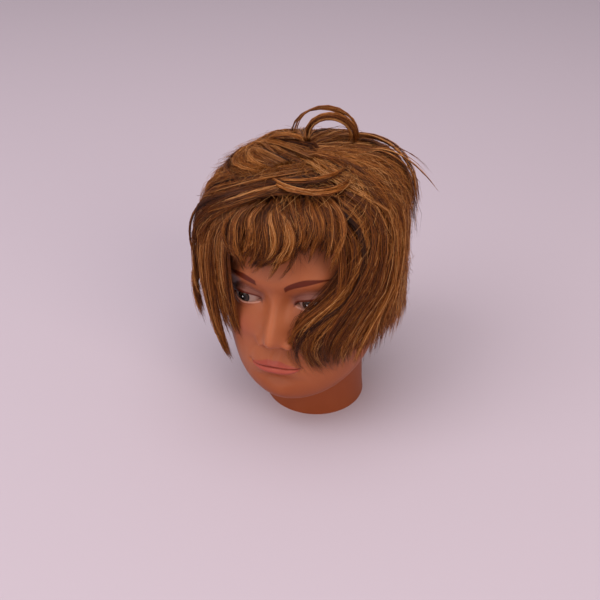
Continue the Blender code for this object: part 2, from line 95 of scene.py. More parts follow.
# Stations of the head, from the table to the crown. Each is a slanted section given by its front point
# (y, z), its back point (y, z), its half width, where along it the widest place is, and the roundness of
# its front and back halves.
STATIONS = (
    (-44, 0, 46, 0, 45, 0.5, 2, 2),
    (-43, 12, 45, 13, 43.6, 0.5, 2, 2),
    (-42.5, 24, 45, 30, 43.6, 0.5, 2, 2),
    (-43.5, 32, 46, 46, 45, 0.5, 2, 2),
    (-49, 36, 47, 60, 47.5, 0.5, 1.9, 2),
    (-59, 36, 49, 71, 50.5, 0.53, 1.75, 2),
    (-68, 37, 53, 82, 55.5, 0.55, 1.8, 2),
    (-73.5, 41, 60, 92, 59.5, 0.56, 2.05, 2),
    (-76, 50, 68, 102, 62, 0.56, 2.3, 2),
    (-76, 65, 76, 112, 63.5, 0.56, 2.6, 2.05),
    (-75.5, 84, 83, 124, 65, 0.56, 2.85, 2.1),
    (-75, 104, 88, 136, 66, 0.56, 2.9, 2.1),
    (-75, 124, 90, 148, 66.5, 0.56, 2.7, 2.15),
    (-76, 142, 89, 160, 66, 0.56, 2.5, 2.2),
    (-76, 159, 86, 171, 64.5, 0.56, 2.4, 2.2),
    (-70, 177, 79, 184, 61, 0.56, 2.3, 2.2),
    (-61, 194, 69, 196.5, 55, 0.55, 2.2, 2.15),
    (-46, 207.5, 54, 208.5, 44, 0.55, 2.1, 2.1),
    (-26, 216.5, 36, 217, 29, 0.54, 2, 2),
    (-8, 219.9, 18, 220, 12.5, 0.52, 2, 2),
)


def ease(value, low, high):
    """0 below low and 1 above high, with a smooth step between."""
    t = np.clip((np.asarray(value, float) - low) / (high - low), 0, 1)
    return t * t * (3 - 2 * t)


def span(value, low, low_end, high, high_end):
    """1 between low_end and high, easing to 0 at low and at high_end."""
    return ease(value, low, low_end) * (1 - ease(value, high, high_end))


def bell(x, z, centre, radii):
    """A smooth bump of height 1 at centre, fading over the radii."""
    return np.exp(-(((x - centre[0]) / radii[0]) ** 2) - ((z - centre[1]) / radii[1]) ** 2)


def cubic(rows, t):
    """Reads between the middle two of four rows, a share t of the way, with slopes from the outer two."""
    before, here, after, beyond = rows
    rise_here, rise_after = (after - before) / 2, (beyond - here) / 2
    return (
        (2 * t**3 - 3 * t**2 + 1) * here
        + (t**3 - 2 * t**2 + t) * rise_here
        + (-2 * t**3 + 3 * t**2) * after
        + (t**3 - t**2) * rise_after
    )


def four_places(at, count):
    """The four numbered places round each position, and its share of the way between the middle two."""
    i = np.minimum(at.astype(int), count - 2)
    return (np.maximum(i - 1, 0), i, i + 1, np.minimum(i + 2, count - 1)), at - i


def spline(values, at):
    """Cubic through evenly numbered values, read at the positions given."""
    values = np.asarray(values, float)
    places, t = four_places(np.clip(at, 0, len(values) - 1), len(values))
    return cubic([values[place] for place in places], t)


def lean(points):
    """Bends the head to its right above the neck, leaving the base flat."""
    points = np.asarray(points, float)
    turn = LEAN * ease(points[:, 2], LEAN_START, LEAN_FULL)
    height = points[:, 2] - LEAN_PIVOT
    cosine, sine = np.cos(turn), np.sin(turn)
    x = points[:, 0] * cosine - height * sine
    z = LEAN_PIVOT + points[:, 0] * sine + height * cosine
    return np.stack([x, points[:, 1], z], axis=1)


# Shape of the head


def plain_head(angle, level):
    """Points of the head without features.

    angle is 0 at the face and grows towards +X, and level counts along STATIONS.
    """
    columns = np.array(STATIONS).T
    front_y, front_z, back_y, back_z, width, widest, round_front, round_back = (
        spline(column, level) for column in columns
    )
    centre_y = front_y + widest * (back_y - front_y)
    centre_z = front_z + widest * (back_z - front_z)
    cosine, sine = np.cos(angle), np.sin(angle)
    facing = cosine >= 0
    power = 2 / np.where(facing, round_front, round_back)
    along = np.abs(cosine) ** power
    x = np.sign(sine) * np.abs(sine) ** power * width
    end_y = np.where(facing, front_y, back_y)
    end_z = np.where(facing, front_z, back_z)
    y = centre_y + along * (end_y - centre_y)
    z = centre_z + along * (end_z - centre_z)
    return np.stack([x, y, z], axis=-1)


def lip_line(x):
    """Height of the closed mouth."""
    t = np.clip(np.abs(x) / MOUTH_HALF, 0, 1.4)
    return MOUTH_Z - 0.9 * t**2 + 0.7 * np.exp(-((x / 7) ** 2))


def lip_top(x):
    """Upper edge of the upper lip, with the dip at its middle."""
    t = np.clip(np.abs(x) / MOUTH_HALF, 0, 1)
    rise = 6 * (1 - t**1.8) + 0.9 * np.exp(-(((np.abs(x) - 5) / 4) ** 2))
    return lip_line(x) + rise - 0.7 * np.exp(-((x / 2.5) ** 2))


def lip_bottom(x):
    """Lower edge of the lower lip."""
    t = np.clip(np.abs(x) / MOUTH_HALF, 0, 1)
    return lip_line(x) - 8.3 * (1 - t**2.4)


def lip_relief(x, z):
    """Fullness of the two lips and the crease between them."""
    inside = np.clip(1 - (x / (MOUTH_HALF + 1.5)) ** 2, 0, 1)
    line = lip_line(x)
    up = (z - line) / np.maximum(lip_top(x) - line, 1.2)
    down = (line - z) / np.maximum(line - lip_bottom(x), 1.2)
    upper = np.where(up > 0, np.exp(-(((up - 0.42) / 0.5) ** 2)), 0)
    lower = np.where(down > 0, np.exp(-(((down - 0.45) / 0.48) ** 2)), 0)
    blend = ease(z - line, -0.9, 0.9)
    full = (2.7 * upper * blend + 3.2 * lower * (1 - blend)) * inside**0.6
    crease = 1.5 * np.exp(-(((z - line) / 0.75) ** 2)) * inside**0.25
    corner = 1.4 * bell(np.abs(x), z, (MOUTH_HALF + 0.5, line), (2.6, 2.2))
    return full - crease - corner


def eye_edges(x):
    """Heights of the upper and lower lid's edge at a distance x from the middle of the face."""
    t = np.clip((np.asarray(x, float) - EYE_MIDDLE_X) / EYE_HALF, -1, 1)
    bow = 1 - t * t
    tilt = EYE_Z - 0.4 + 1.5 * t
    upper = tilt + 4.4 * bow**0.75 + 0.6 * bow * t
    lower = tilt - 3.7 * bow**0.9 - 0.6 * bow * t
    return upper, lower


def lid_distance(side, z):
    """Rough distance outside the eye opening, in millimetres; negative inside it."""
    upper, lower = eye_edges(side)
    over = np.abs(side - EYE_MIDDLE_X) - EYE_HALF
    vertical = np.maximum(z - upper, lower - z)
    return np.where(over > 0, np.hypot(over, np.maximum(vertical, 0)), vertical)


def ball_depth(side, z, radius):
    """The -Y reach of the eyeball's sphere at a point, or far back beside it."""
    centre_y = EYE_FRONT_Y + BALL_RADIUS
    left = radius**2 - (side - EYE_X) ** 2 - (z - EYE_Z) ** 2
    return np.where(left > 0, centre_y - np.sqrt(np.maximum(left, 0)), 99)


def nose_relief(x, z):
    side = np.abs(x)
    bridge = spline((0, 0.8, 2.8, 5.6, 9, 12.2, 14.6, 15.4, 12, 3.4, 0.6, 0), (145 - z) / 5.2)
    width = 5.4 + 3.6 * ease(-z, -134, -108) + 2.2 * ease(-z, -112, -103)
    ridge = bridge * np.exp(-np.abs(x / width) ** 2.2)
    slope = 0.3 * bridge * np.exp(-((x / (1.9 * width)) ** 2))
    tip = 1.2 * bell(x, z, (0, 106.5), (5.5, 4.5))
    wing = 7.4 * bell(side, z, (12.4, 100), (4.9, 4.9)) - bell(side, z, (15, 105), (3, 3.5))
    nostril = 3 * bell(side, z, (5.8, 95.6), (3, 1.8))
    return ridge + slope + tip + wing - nostril


def chin_centred(x, z):
    """x measured from the middle of the mouth and chin, which sit a little to the head's right."""
    return x + 3.6 * ease(-z, -96, -84)


def add_bells(relief, across, z, rows):
    """Adds smooth bumps; each row is a height, a centre and radii."""
    for height, centre, radii in rows:
        relief += height * bell(across, z, centre, radii)


def face_relief(x, z):
    """How far the features stand out of the plain head towards -Y."""
    side, low = np.abs(x), chin_centred(x, z)
    relief = nose_relief(x, z)
    sockets = ((-6.4, (25, 137), (17, 12)), (-4.4, (11.5, 135), (5.6, 8.5)), (-1.6, (44, 136), (8, 12)))
    brows = ((2.2, (26, 154), (20, 6.5)), (1.2, (0, 151), (9, 7)))
    cheeks = ((2.6, (38, 111), (14, 12)), (-1.5, (38, 84), (12, 14)))
    add_bells(relief, side, z, (*sockets, *brows, *cheeks))
    relief -= 0.9 * bell(np.abs(low) - 0.28 * (95 - z), z, (18.5, 87), (3.2, 9))
    mouth = ((5.6, (0, 78.5), (24, 14)), (-0.9, (0, 88), (2.3, 5)), (0.5, (4.2, 88), (1.8, 5)))
    add_bells(relief, np.abs(low), z, mouth)
    relief += lip_relief(low, z)
    add_bells(relief, np.abs(low), z, ((-3.2, (0, 62.5), (16, 4.6)), (3.2, (0, 48.5), (14, 9))))
    return relief


def lids(points):
    """Draws the skin over the eyeballs as lids, with a crease above and a thin margin at the opening."""
    out = points.copy()
    x, z = points[:, 0], points[:, 2]
    side = np.abs(x)
    away = lid_distance(side, z)
    thick = 0.7 + 0.9 * ease(away, 0, 1.8)
    cover = ball_depth(side, z, BALL_RADIUS + thick)
    near = points[:, 1] < -40
    level = np.where(near, np.minimum(points[:, 1], cover), points[:, 1])
    rounding = np.clip(3 - np.abs(points[:, 1] - cover), 0, 3)
    out[:, 1] = np.where(near, level - 0.085 * rounding**2, points[:, 1])
    upper, _ = eye_edges(side)
    inside = span(side, EYE_INNER_X - 1, EYE_INNER_X + 5, EYE_OUTER_X - 3, EYE_OUTER_X + 5)
    crease = np.exp(-(((z - upper - 4.6) / 0.9) ** 2)) * inside
    out[:, 1] += np.where(near, 0.9 * crease, 0)
    return out


def ear_relief(y, z):
    """How far an ear stands out of the side of the head: a rim round a hollow, with the lobe below."""
    along = (y - EAR_Y) * 0.96 + (z - EAR_Z) * 0.26
    up = (z - EAR_Z) * 0.96 - (y - EAR_Y) * 0.26
    ring = np.sqrt((along / 12.5) ** 2 + (up / 24) ** 2)
    inside = 1 - ease(ring, 0.85, 1.12)
    behind = ease(along, -14, 10)
    rim = 1.6 * np.exp(-(((ring - 0.8) / 0.12) ** 2))
    hollow = 6 * bell(along, up, (-1, 1), (6, 11))
    return inside * (3 + 9 * behind) + rim - hollow


def featured_head(angle, level):
    """The head with its face and ears."""
    points = plain_head(angle, level)
    x, y, z = points[..., 0], points[..., 1], points[..., 2]
    facing = ease(-y, 12, 34) * ease(z, 37, 42)
    sideways = ease(np.abs(x), 42, 52) * ease(z, 76, 86)
    out = points.copy()
    relief = face_relief(x, z)
    out[..., 1] -= facing * relief
    droop = ease(nose_relief(x, z), 6, 15) * ease(-z, -112, -98)
    out[..., 2] -= 0.4 * facing * droop
    out[..., 0] += np.sign(x) * sideways * ear_relief(y, z)
    return out


# Meshes and materials


def new_object(name, data):
    obj = bpy.data.objects.new(name, data)
    bpy.context.scene.collection.objects.link(obj)
    return obj


def mesh_object(name, points, faces, material):
    """A smooth named object from points in millimetres and faces that all have the same number of corners."""
    points = np.asarray(points, float) * MM
    faces = np.asarray(faces, np.int32)
    mesh = bpy.data.meshes.new(name)
    mesh.vertices.add(len(points))
    mesh.vertices.foreach_set("co", points.astype(np.float32).ravel())
    mesh.loops.add(faces.size)
    mesh.loops.foreach_set("vertex_index", faces.ravel())
    mesh.polygons.add(len(faces))
    mesh.polygons.foreach_set("loop_start", np.arange(0, faces.size, faces.shape[1], dtype=np.int32))
    mesh.update(calc_edges=True)
    mesh.shade_smooth()
    mesh.materials.append(material)
    return new_object(name, mesh)


def vertex_points(obj):
    """The object's points in millimetres."""
    flat = np.empty(len(obj.data.vertices) * 3, np.float32)
    obj.data.vertices.foreach_get("co", flat)
    return flat.reshape(-1, 3).astype(float) / MM


def move_points(obj, points):
    obj.data.vertices.foreach_set("co", (points * MM).astype(np.float32).ravel())
    obj.data.update()


def add_attribute(obj, name, values):
    """Stores four numbers for each vertex, to be read by the material."""
    stored = obj.data.color_attributes.new(name, "FLOAT_COLOR", "POINT")
    stored.data.foreach_set("color", np.asarray(values, np.float32).ravel())


def grid_quads(rows, columns):
    """Quads of a grid whose columns close on themselves."""
    r, c = np.meshgrid(np.arange(rows - 1), np.arange(columns), indexing="ij")
    a = r * columns + c
    b = r * columns + (c + 1) % columns
    return np.stack([a, b, b + columns, a + columns], -1).reshape(-1, 4)


class Nodes:
    """A material's nodes, with short ways to add and link them."""

    def __init__(self, name):
        self.material = bpy.data.materials.new(name)
        self.material.use_nodes = True
        self.tree = self.material.node_tree
        self.shader = self.tree.nodes["Principled BSDF"]

    def add(self, kind, **settings):
        node = self.tree.nodes.new(kind)
        for key, value in settings.items():
            if hasattr(node, key):
                setattr(node, key, value)
            else:
                node.inputs[key].default_value = value
        return node

    def attribute(self, name):
        """The colour, the separate channels and the alpha of a stored attribute."""
        stored = self.add("ShaderNodeAttribute", attribute_name=name)
        split = self.add("ShaderNodeSeparateColor")
        self.link(stored.outputs["Color"], split.inputs[0])
        return stored.outputs["Color"], split.outputs, stored.outputs["Alpha"]

    def link(self, output, socket):
        """Links to a socket, or to the shader's socket of that name."""
        self.tree.links.new(output, self.shader.inputs[socket] if isinstance(socket, str) else socket)

    def set(self, **values):
        """Sets the shader's own sockets, named with _ for each space."""
        for key, value in values.items():
            self.shader.inputs[key.replace("_", " ")].default_value = value

    def mix(self, factor, first, second, blend="MIX"):
        """Mixes two colours; each is a socket or a colour."""
        node = self.add("ShaderNodeMix", data_type="RGBA", blend_type=blend)
        for value, socket in ((factor, node.inputs[0]), (first, node.inputs[6]), (second, node.inputs[7])):
            if isinstance(value, bpy.types.NodeSocket):
                self.link(value, socket)
            else:
                socket.default_value = value
        return node.outputs[2]

    def ramp(self, factor, stops):
        node = self.add("ShaderNodeValToRGB")
        elements = node.color_ramp.elements
        while len(elements) < len(stops):
            elements.new(0.5)
        for element, (place, colour) in zip(elements, stops):
            element.position = place
            element.color = (*colour, 1)
        self.link(factor, node.inputs[0])
        return node.outputs[0]

    def texture(self, kind, **settings):
        """A texture laid out in the object's own coordinates."""
        node = self.add(kind, **settings)
        self.link(self.add("ShaderNodeTexCoord").outputs["Object"], node.inputs["Vector"])
        return node

    def noise(self, scale, detail, roughness=0.5):
        return self.texture("ShaderNodeTexNoise", Scale=scale, Detail=detail, Roughness=roughness).outputs[0]

    def bump(self, height, distance, strength):
        node = self.add("ShaderNodeBump", Distance=distance, Strength=strength)
        self.link(height, node.inputs["Height"])
        self.link(node.outputs[0], "Normal")


def srgb(red, green, blue):
    """A display colour as the linear numbers that shaders take."""
    values = []
    for value in (red, green, blue):
        v = value / 255
        values.append(v / 12.92 if v <= 0.04045 else ((v + 0.055) / 1.055) ** 2.4)
    return tuple(values)


def opaque(colour):
    return (*colour, 1)


# Painted vinyl head


def spaced(count, knots):
    """Values 0 to count that pass through knots of (value, number), evenly between them."""
    return np.interp(np.arange(count + 1), [k[1] for k in knots], [k[0] for k in knots])


def head_angles():
    """Angles round the head, closest together on the face."""
    half = np.radians(spaced(176, ((0, 0), (22, 60), (62, 128), (110, 158), (180, 176))))
    return np.concatenate([-half[:0:-1], half[:-1]])


def head_levels():
    """Levels up the head, closest together from the chin to the brows."""
    return spaced(270, ((0, 0), (5, 16), (7, 32), (8.6, 66), (14.2, 234), (16, 250), (19, 270)))


def brow_mask(x, z):
    """The painted brows: a blunt bar that rises from its inner end, arches and tapers outwards."""
    side = np.abs(x)
    inner = np.where(x > 0, 9.4, 14)
    t = np.clip((side - 9) / 38, 0, 1)
    middle = 147.4 + 9.8 * np.sin(np.pi * t**0.7 * 0.68) - 1.6 * t
    half = 2.7 - 2.3 * ease(t, 0.35, 0.95)
    inside = 1 - ease(np.abs(z - middle) - half, -0.35, 0.35)
    return inside * ease(side - inner, -0.5, 0.5) * (1 - ease(side, 44, 47))


def liner_mask(x, z):
    """Dark line along the upper lid, thickening outwards into a short wing, and a faint one below."""
    side = np.abs(x)
    upper, lower = eye_edges(side)
    width = 1.3 + ease(side, EYE_INNER_X, EYE_OUTER_X - 3)
    over = z - upper
    line = span(over, -2.5, -1.5, width - 0.2, width + 0.4)
    line = line * span(side, EYE_INNER_X - 1.5, EYE_INNER_X + 1, EYE_OUTER_X - 0.6, EYE_OUTER_X + 0.6)
    t = np.clip((side - EYE_OUTER_X + 3) / 9, 0, 1)
    wing_z = EYE_Z + 1.6 + 3.4 * t
    wing = 1 - ease(np.abs(z - wing_z) - 1.1 * (1 - t), -0.2, 0.4)
    wing = wing * ease(side, EYE_OUTER_X - 3.5, EYE_OUTER_X - 1.5) * (1 - ease(t, 0.9, 1))
    below = 0.5 * np.exp(-(((z - lower + 1.5) / 0.7) ** 2))
    below = below * span(side, EYE_INNER_X + 4, EYE_INNER_X + 12, EYE_OUTER_X - 1, EYE_OUTER_X + 1)
    return np.clip(line + wing + below, 0, 1)


def rim_mask(x, z):
    """The paler edge of the lower lid."""
    side = np.abs(x)
    _, lower = eye_edges(side)
    rim = np.exp(-(((z - lower + 0.25) / 0.55) ** 2))
    return 0.45 * rim * span(side, EYE_INNER_X, EYE_INNER_X + 3, EYE_OUTER_X - 4, EYE_OUTER_X)


def shadow_mask(x, z):
    """Soft mauve shadow over the upper lid, up to the brow's inner part."""
    side = np.abs(x)
    upper, _ = eye_edges(side)
    return span(z - upper, -1, 1.5, 5, 12) * span(side, 8, 15, 37, 47)


def lip_mask(x, z):
    top, bottom = lip_top(x), lip_bottom(x)
    inside = ease(top - z, -0.45, 0.55) * ease(z - bottom, -0.6, 0.8)
    return inside * (1 - ease(np.abs(x), MOUTH_HALF - 1, MOUTH_HALF + 0.6))


def blush_mask(x, z):
    side = np.abs(x)
    return np.clip(bell(side, z, (38, 108), (17, 13)) + 0.4 * bell(x, z, (0, 101), (10, 7)), 0, 1)


def scalp_mask(points):
    """Where hair is rooted: above the hairline in front, above the ears and down to the nape behind."""
    _, y, z = points.T
    line = 182 - 50 * ease(y, -12, 8) - 46 * ease(y, 8, 50)
    return ease(z - line, -2, 3)


def vinyl_material():
    made = Nodes("painted_vinyl")
    _, paint, pale = made.attribute("paint")
    tint = made.attribute("tint")[1]
    mottle = made.noise(38, 5)
    skin = made.ramp(mottle, ((0.3, srgb(150, 82, 50)), (0.7, srgb(163, 92, 57))))
    skin = made.mix(paint[2], skin, opaque(srgb(154, 75, 56)))
    # Painted shade: the neck and chin darker and warmer towards the bottom.
    skin = made.mix(tint[2], skin, opaque(srgb(124, 52, 14)))
    skin = made.mix(tint[0], skin, opaque(srgb(112, 72, 66)))
    lips = made.ramp(mottle, ((0.3, srgb(150, 64, 51)), (0.7, srgb(166, 78, 62))))
    skin = made.mix(paint[0], skin, lips)
    # The scalp's dark brown: the rooted hair's colour, partly painted shade beneath the locks.
    skin = made.mix(tint[1], skin, opaque(srgb(74, 40, 20)))
    # The brows and liner are paint; the same dark also gives the mouth's crease and the upper lip painted
    # shade.
    skin = made.mix(paint[1], skin, opaque(srgb(88, 30, 10)))
    skin = made.mix(pale, skin, opaque(srgb(214, 176, 164)))
    made.link(skin, "Base Color")
    made.set(Roughness=0.46, Specular_IOR_Level=0.24)
    made.set(Subsurface_Weight=0.1, Subsurface_Scale=0.004, Subsurface_Radius=(1, 0.35, 0.2))
    made.bump(made.noise(900, 3), 0.00012, 0.35)
    return made.material


def cut(obj, points, faces):
    """Cuts a closed shape, given in millimetres, out of an object."""
    mesh = bpy.data.meshes.new("opening")
    mesh.from_pydata([Vector(p) * MM for p in points], [], faces)
    shell = bmesh.new()
    shell.from_mesh(mesh)
    bmesh.ops.recalc_face_normals(shell, faces=shell.faces)
    shell.to_mesh(mesh)
    shell.free()
    cutter = new_object("opening", mesh)
    modifier = obj.modifiers.new("opening", "BOOLEAN")
    modifier.operation = "DIFFERENCE"
    modifier.object = cutter
    modifier.solver = "EXACT"
    graph = bpy.context.evaluated_depsgraph_get()
    made = bpy.data.meshes.new_from_object(obj.evaluated_get(graph))
    obj.modifiers.clear()
    obj.data = made
    bpy.data.objects.remove(cutter, do_unlink=True)


def eye_prism(side):
    """The eye opening pulled along Y."""
    x = EYE_MIDDLE_X - EYE_HALF * np.cos(np.linspace(0, np.pi, 33))
    upper, lower = eye_edges(x)
    outline = [*zip(x, upper), *zip(x[-2:0:-1], lower[-2:0:-1])]
    count = len(outline)
    points = [(side * px, y, pz) for y in (CUT_FRONT_Y, CUT_BACK_Y) for px, pz in outline]
    faces = [tuple(range(count)), tuple(range(2 * count - 1, count - 1, -1))]
    faces += [(i, (i + 1) % count, (i + 1) % count + count, i + count) for i in range(count)]
    return points, faces


def make_head():
    """The vinyl casting: one dense skin, closed at the crown and turned in at the neck's rim."""
    angles, levels = head_angles(), head_levels()
    grid_angle, grid_level = np.meshgrid(angles, levels)
    points = featured_head(grid_angle, grid_level).reshape(-1, 3)
    points = lids(points)
    columns = len(angles)
    rim = points[:columns].copy()
    rim[:, :2] *= 1 - SKIN_WALL / NECK_RADIUS
    inside = rim + (0, 0, NECK_INSIDE_Z)
    points = np.concatenate([inside, rim, points])
    rows = len(levels) + 2
    head = mesh_object("vinyl_head", points, grid_quads(rows, columns), vinyl_material())
    close_top(head, rows, columns)
    for side in (1, -1):
        cut(head, *eye_prism(side))
    paint_head(head)
    move_points(head, lean(vertex_points(head)))
    head.data.shade_smooth()
    head.data.set_sharp_from_angle(angle=math.radians(60))
    return head


def close_top(head, rows, columns):
    """Closes the crown and the inside of the neck."""
    shell = bmesh.new()
    shell.from_mesh(head.data)
    shell.verts.ensure_lookup_table()
    rims = [[shell.verts[start + i] for i in range(columns)] for start in ((rows - 1) * columns, 0)]
    for ring, height in zip(rims, (CROWN_Z, NECK_INSIDE_Z)):
        centre = shell.verts.new((0, CROWN_Y * MM, height * MM))
        for i in range(columns):
            shell.faces.new((ring[i], ring[(i + 1) % columns], centre))
    bmesh.ops.recalc_face_normals(shell, faces=shell.faces)
    shell.to_mesh(head.data)
    shell.free()


def paint_head(head):
    """Stores paint on lips, brows, lids, cheeks and scalp, and painted shade on the mouth's line, upper lip
    and neck.
    """
    points = vertex_points(head)
    x, y, z = points.T
    front = ease(-y, 20, 40)
    brow = np.clip(brow_mask(x, z) + liner_mask(x, z), 0, 1) * front
    low = chin_centred(x, z)
    # Painted shade: a dark line in the crease between the lips, and a slightly darker upper lip.
    line = np.exp(-(((z - lip_line(low)) / 0.6) ** 2)) * (np.abs(low) < MOUTH_HALF) * front
    upper_lip_shade = lip_mask(low, z) * (z > lip_line(low)) * front
    brow = np.clip(brow + 0.55 * line + 0.14 * upper_lip_shade, 0, 1)
    blush, lid = 0.5 * blush_mask(x, z), 0.75 * shadow_mask(x, z)
    paint = (lip_mask(low, z) * front, brow, blush * front, rim_mask(x, z) * front)
    # Painted shade: the neck and chin darken towards the bottom.
    neck = 0.75 * (1 - ease(z, 34, 84))
    add_attribute(head, "paint", np.stack(paint, -1))
    # The scalp mask is partly painted shade beneath the hair.
    add_attribute(head, "tint", np.stack((lid * front, scalp_mask(points), neck, np.ones_like(x)), -1))


# Eyes


def eye_material():
    """Sclera, iris and pupil drawn by distance from the gaze, under a clear gloss."""
    made = Nodes("glossy_eye")
    gaze, split, glint = made.attribute("gaze")
    stops = (
        (0, (5, 4, 4)), (0.165, (6, 4, 4)), (0.195, (34, 23, 17)), (0.29, (52, 38, 30)), (0.35, (20, 13, 10)),
        (0.395, (14, 9, 8)), (0.43, (142, 114, 106)), (0.7, (160, 130, 122)), (1, (166, 100, 88)),
    )
    rings = made.ramp(split[0], [(place, srgb(*colour)) for place, colour in stops])
    rays = made.add("ShaderNodeTexNoise", Scale=9)
    made.link(gaze, rays.inputs["Vector"])
    colour = made.mix(0.12, rings, rays.outputs[1], "OVERLAY")
    made.link(made.mix(glint, colour, opaque(srgb(236, 236, 236))), "Base Color")
    made.set(Roughness=0.1, Specular_IOR_Level=0.2)
    return made.material


def make_eye(name, side):
    """A glossy ball with a slightly raised cornea and a painted glint."""
    bpy.ops.mesh.primitive_uv_sphere_add(segments=192, ring_count=128, radius=1)
    eye = bpy.context.object
    eye.name = name
    eye.data.name = name
    ball = vertex_points(eye) * MM
    look = Vector((GAZE[side][0], -1, GAZE[side][1])).normalized()
    toward = ball @ np.array(look)
    away = np.sqrt(np.maximum(1 - toward**2, 0))
    away = np.where(toward > 0, away, 1)
    radius = BALL_RADIUS * (1 + CORNEA_RISE * np.clip(1 - (away / CORNEA_REACH) ** 2, 0, 1) ** 1.2)
    centre = np.array((side * EYE_X, EYE_FRONT_Y + BALL_RADIUS, EYE_Z))
    move_points(eye, lean(ball * radius[:, None] + centre))
    turn = np.arctan2(ball[:, 2] - look.z, ball[:, 0] - look.x)
    spot = np.hypot(ball[:, 0] - look.x - GLINT[0], ball[:, 2] - look.z - GLINT[1])
    spot = np.where(toward > 0, 1 - ease(spot, 0.03, 0.055), 0)
    gaze = np.stack([away, 0.5 + 0.5 * np.cos(turn), 0.5 + 0.5 * np.sin(turn), spot], -1)
    add_attribute(eye, "gaze", gaze)
    eye.data.materials.append(eye_material())
    eye.data.shade_smooth()
    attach(eye, "root")
    return eye


# Parts inside the neck


def foam_material():
    """Rigid foam: pale, matt and full of small cells."""
    made = Nodes("core_foam")
    cells = made.texture("ShaderNodeTexVoronoi", Scale=700)
    colour = made.ramp(cells.outputs["Distance"], ((0.1, srgb(176, 152, 104)), (0.6, srgb(222, 204, 160))))
    stain = made.ramp(made.noise(60, 4), ((0.35, (0.82, 0.78, 0.7)), (0.65, (1, 1, 1))))
    made.link(made.mix(1, colour, stain, "MULTIPLY"), "Base Color")
    made.set(Roughness=0.88)
    made.bump(cells.outputs["Distance"], 0.0005, 0.8)
    return made.material


def plastic_material():
    """Black moulded plastic with a fine grain and slightly worn patches."""
    made = Nodes("moulded_plastic")
    colour = made.ramp(made.noise(45, 5), ((0.35, srgb(27, 27, 29)), (0.7, srgb(46, 45, 46))))
    made.link(colour, "Base Color")
    wear = made.ramp(made.noise(30, 6, 0.65), ((0.3, (0.36, 0.36, 0.36)), (0.75, (0.58, 0.58, 0.58))))
    made.link(wear, "Roughness")
    made.bump(made.noise(1400, 2), 0.00015, 0.5)
    return made.material


def finish_frame_parts():
    """Gives the foam core, the clamp socket and the base plate their materials."""
    foam, plastic = foam_material(), plastic_material()
    for name, material in (("foam_core", foam), ("clamp_socket", plastic), ("base_plate", plastic)):
        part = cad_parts[name]
        if not part.material_slots:
            part.data.materials.append(material)
        for slot in part.material_slots:
            slot.material = material


# Hair


def envelope(angle, drop, lift):
    """Points of the hair's outside.

    angle is in degrees from the face. drop is 0 at the top of the crown, 1 at the shoulder, where the hair
    turns down, and 2 at HAIR_HANG below that. lift is the distance outwards.
    """
    turn = np.radians(angle)
    sine, cosine = np.abs(np.sin(turn)), np.cos(turn)
    depth = np.where(cosine >= 0, HAIR_FRONT, HAIR_BACK)
    reach = (sine / HAIR_HALF_WIDTH) ** HAIR_PLAN + (np.abs(cosine) / depth) ** HAIR_PLAN
    reach = reach ** (-1 / HAIR_PLAN)
    bend = np.clip(drop, 0, 1) * np.pi / 2
    out = np.sin(bend) ** (2 / HAIR_EDGE)
    up = np.cos(bend) ** (2 / HAIR_CROWN)
    hang = np.clip(drop - 1, 0, 1.6)
    height = HAIR_SHOULDER_Z + (HAIR_TOP_Z - HAIR_SHOULDER_Z) * up - HAIR_HANG * hang
    reach = reach * out * (1 - 0.07 * ease(hang, 0, 1))
    reach = reach + lift * np.sin(bend)
    height = height + lift * np.cos(bend)
    x = HAIR_AXIS_X + reach * np.sin(turn)
    y = HAIR_AXIS_Y - reach * np.cos(turn)
    return np.stack([x, y, height], -1)


def resample(controls, count):
    """Smooth curves through each row of control points, read at count places."""
    given = controls.shape[1]
    places, t = four_places(np.linspace(0, given - 1, count), given)
    return cubic([controls[:, place] for place in places], t[:, None])


def unit(vectors):
    return vectors / np.maximum(np.linalg.norm(vectors, axis=-1, keepdims=True), 1e-9)


POINTS = 12  # along each strand
STRAND_RADIUS = 0.19
FINE_RADIUS = 0.12
FLATNESS = 0.55  # of a lock's section
CENTRE = np.array((HAIR_AXIS_X, HAIR_AXIS_Y, 120))  # outwards is away from it
# The hair under each layer is given dark shades as painted shade beneath the locks.
LINING = 6  # how far the dark hair under each layer lies inside it
FACE_ANGLE = 50  # loose hairs that start within it
FACE_DROP = 0.72  # end here, above the face

# Shades run from 0, dark, to 1, light.
# Painted shade: strands inside a lock are darker than those on its outside.
PAINTED_DEPTH_SHADE = 0.22  # how much lighter a lock is outside than inside
BRIGHT_SHADE = 0.26
BRIGHT_SHARE = 0.09  # of strands, which are lighter by BRIGHT_SHADE
STRAND_VARY = 0.15


def sideways(lines):
    """Directions across each line, one along the surface of the hair and one out of it."""
    ahead = unit(np.gradient(lines, axis=1))
    across = unit(np.cross(ahead, unit(lines - CENTRE)))
    return across, np.cross(across, ahead)


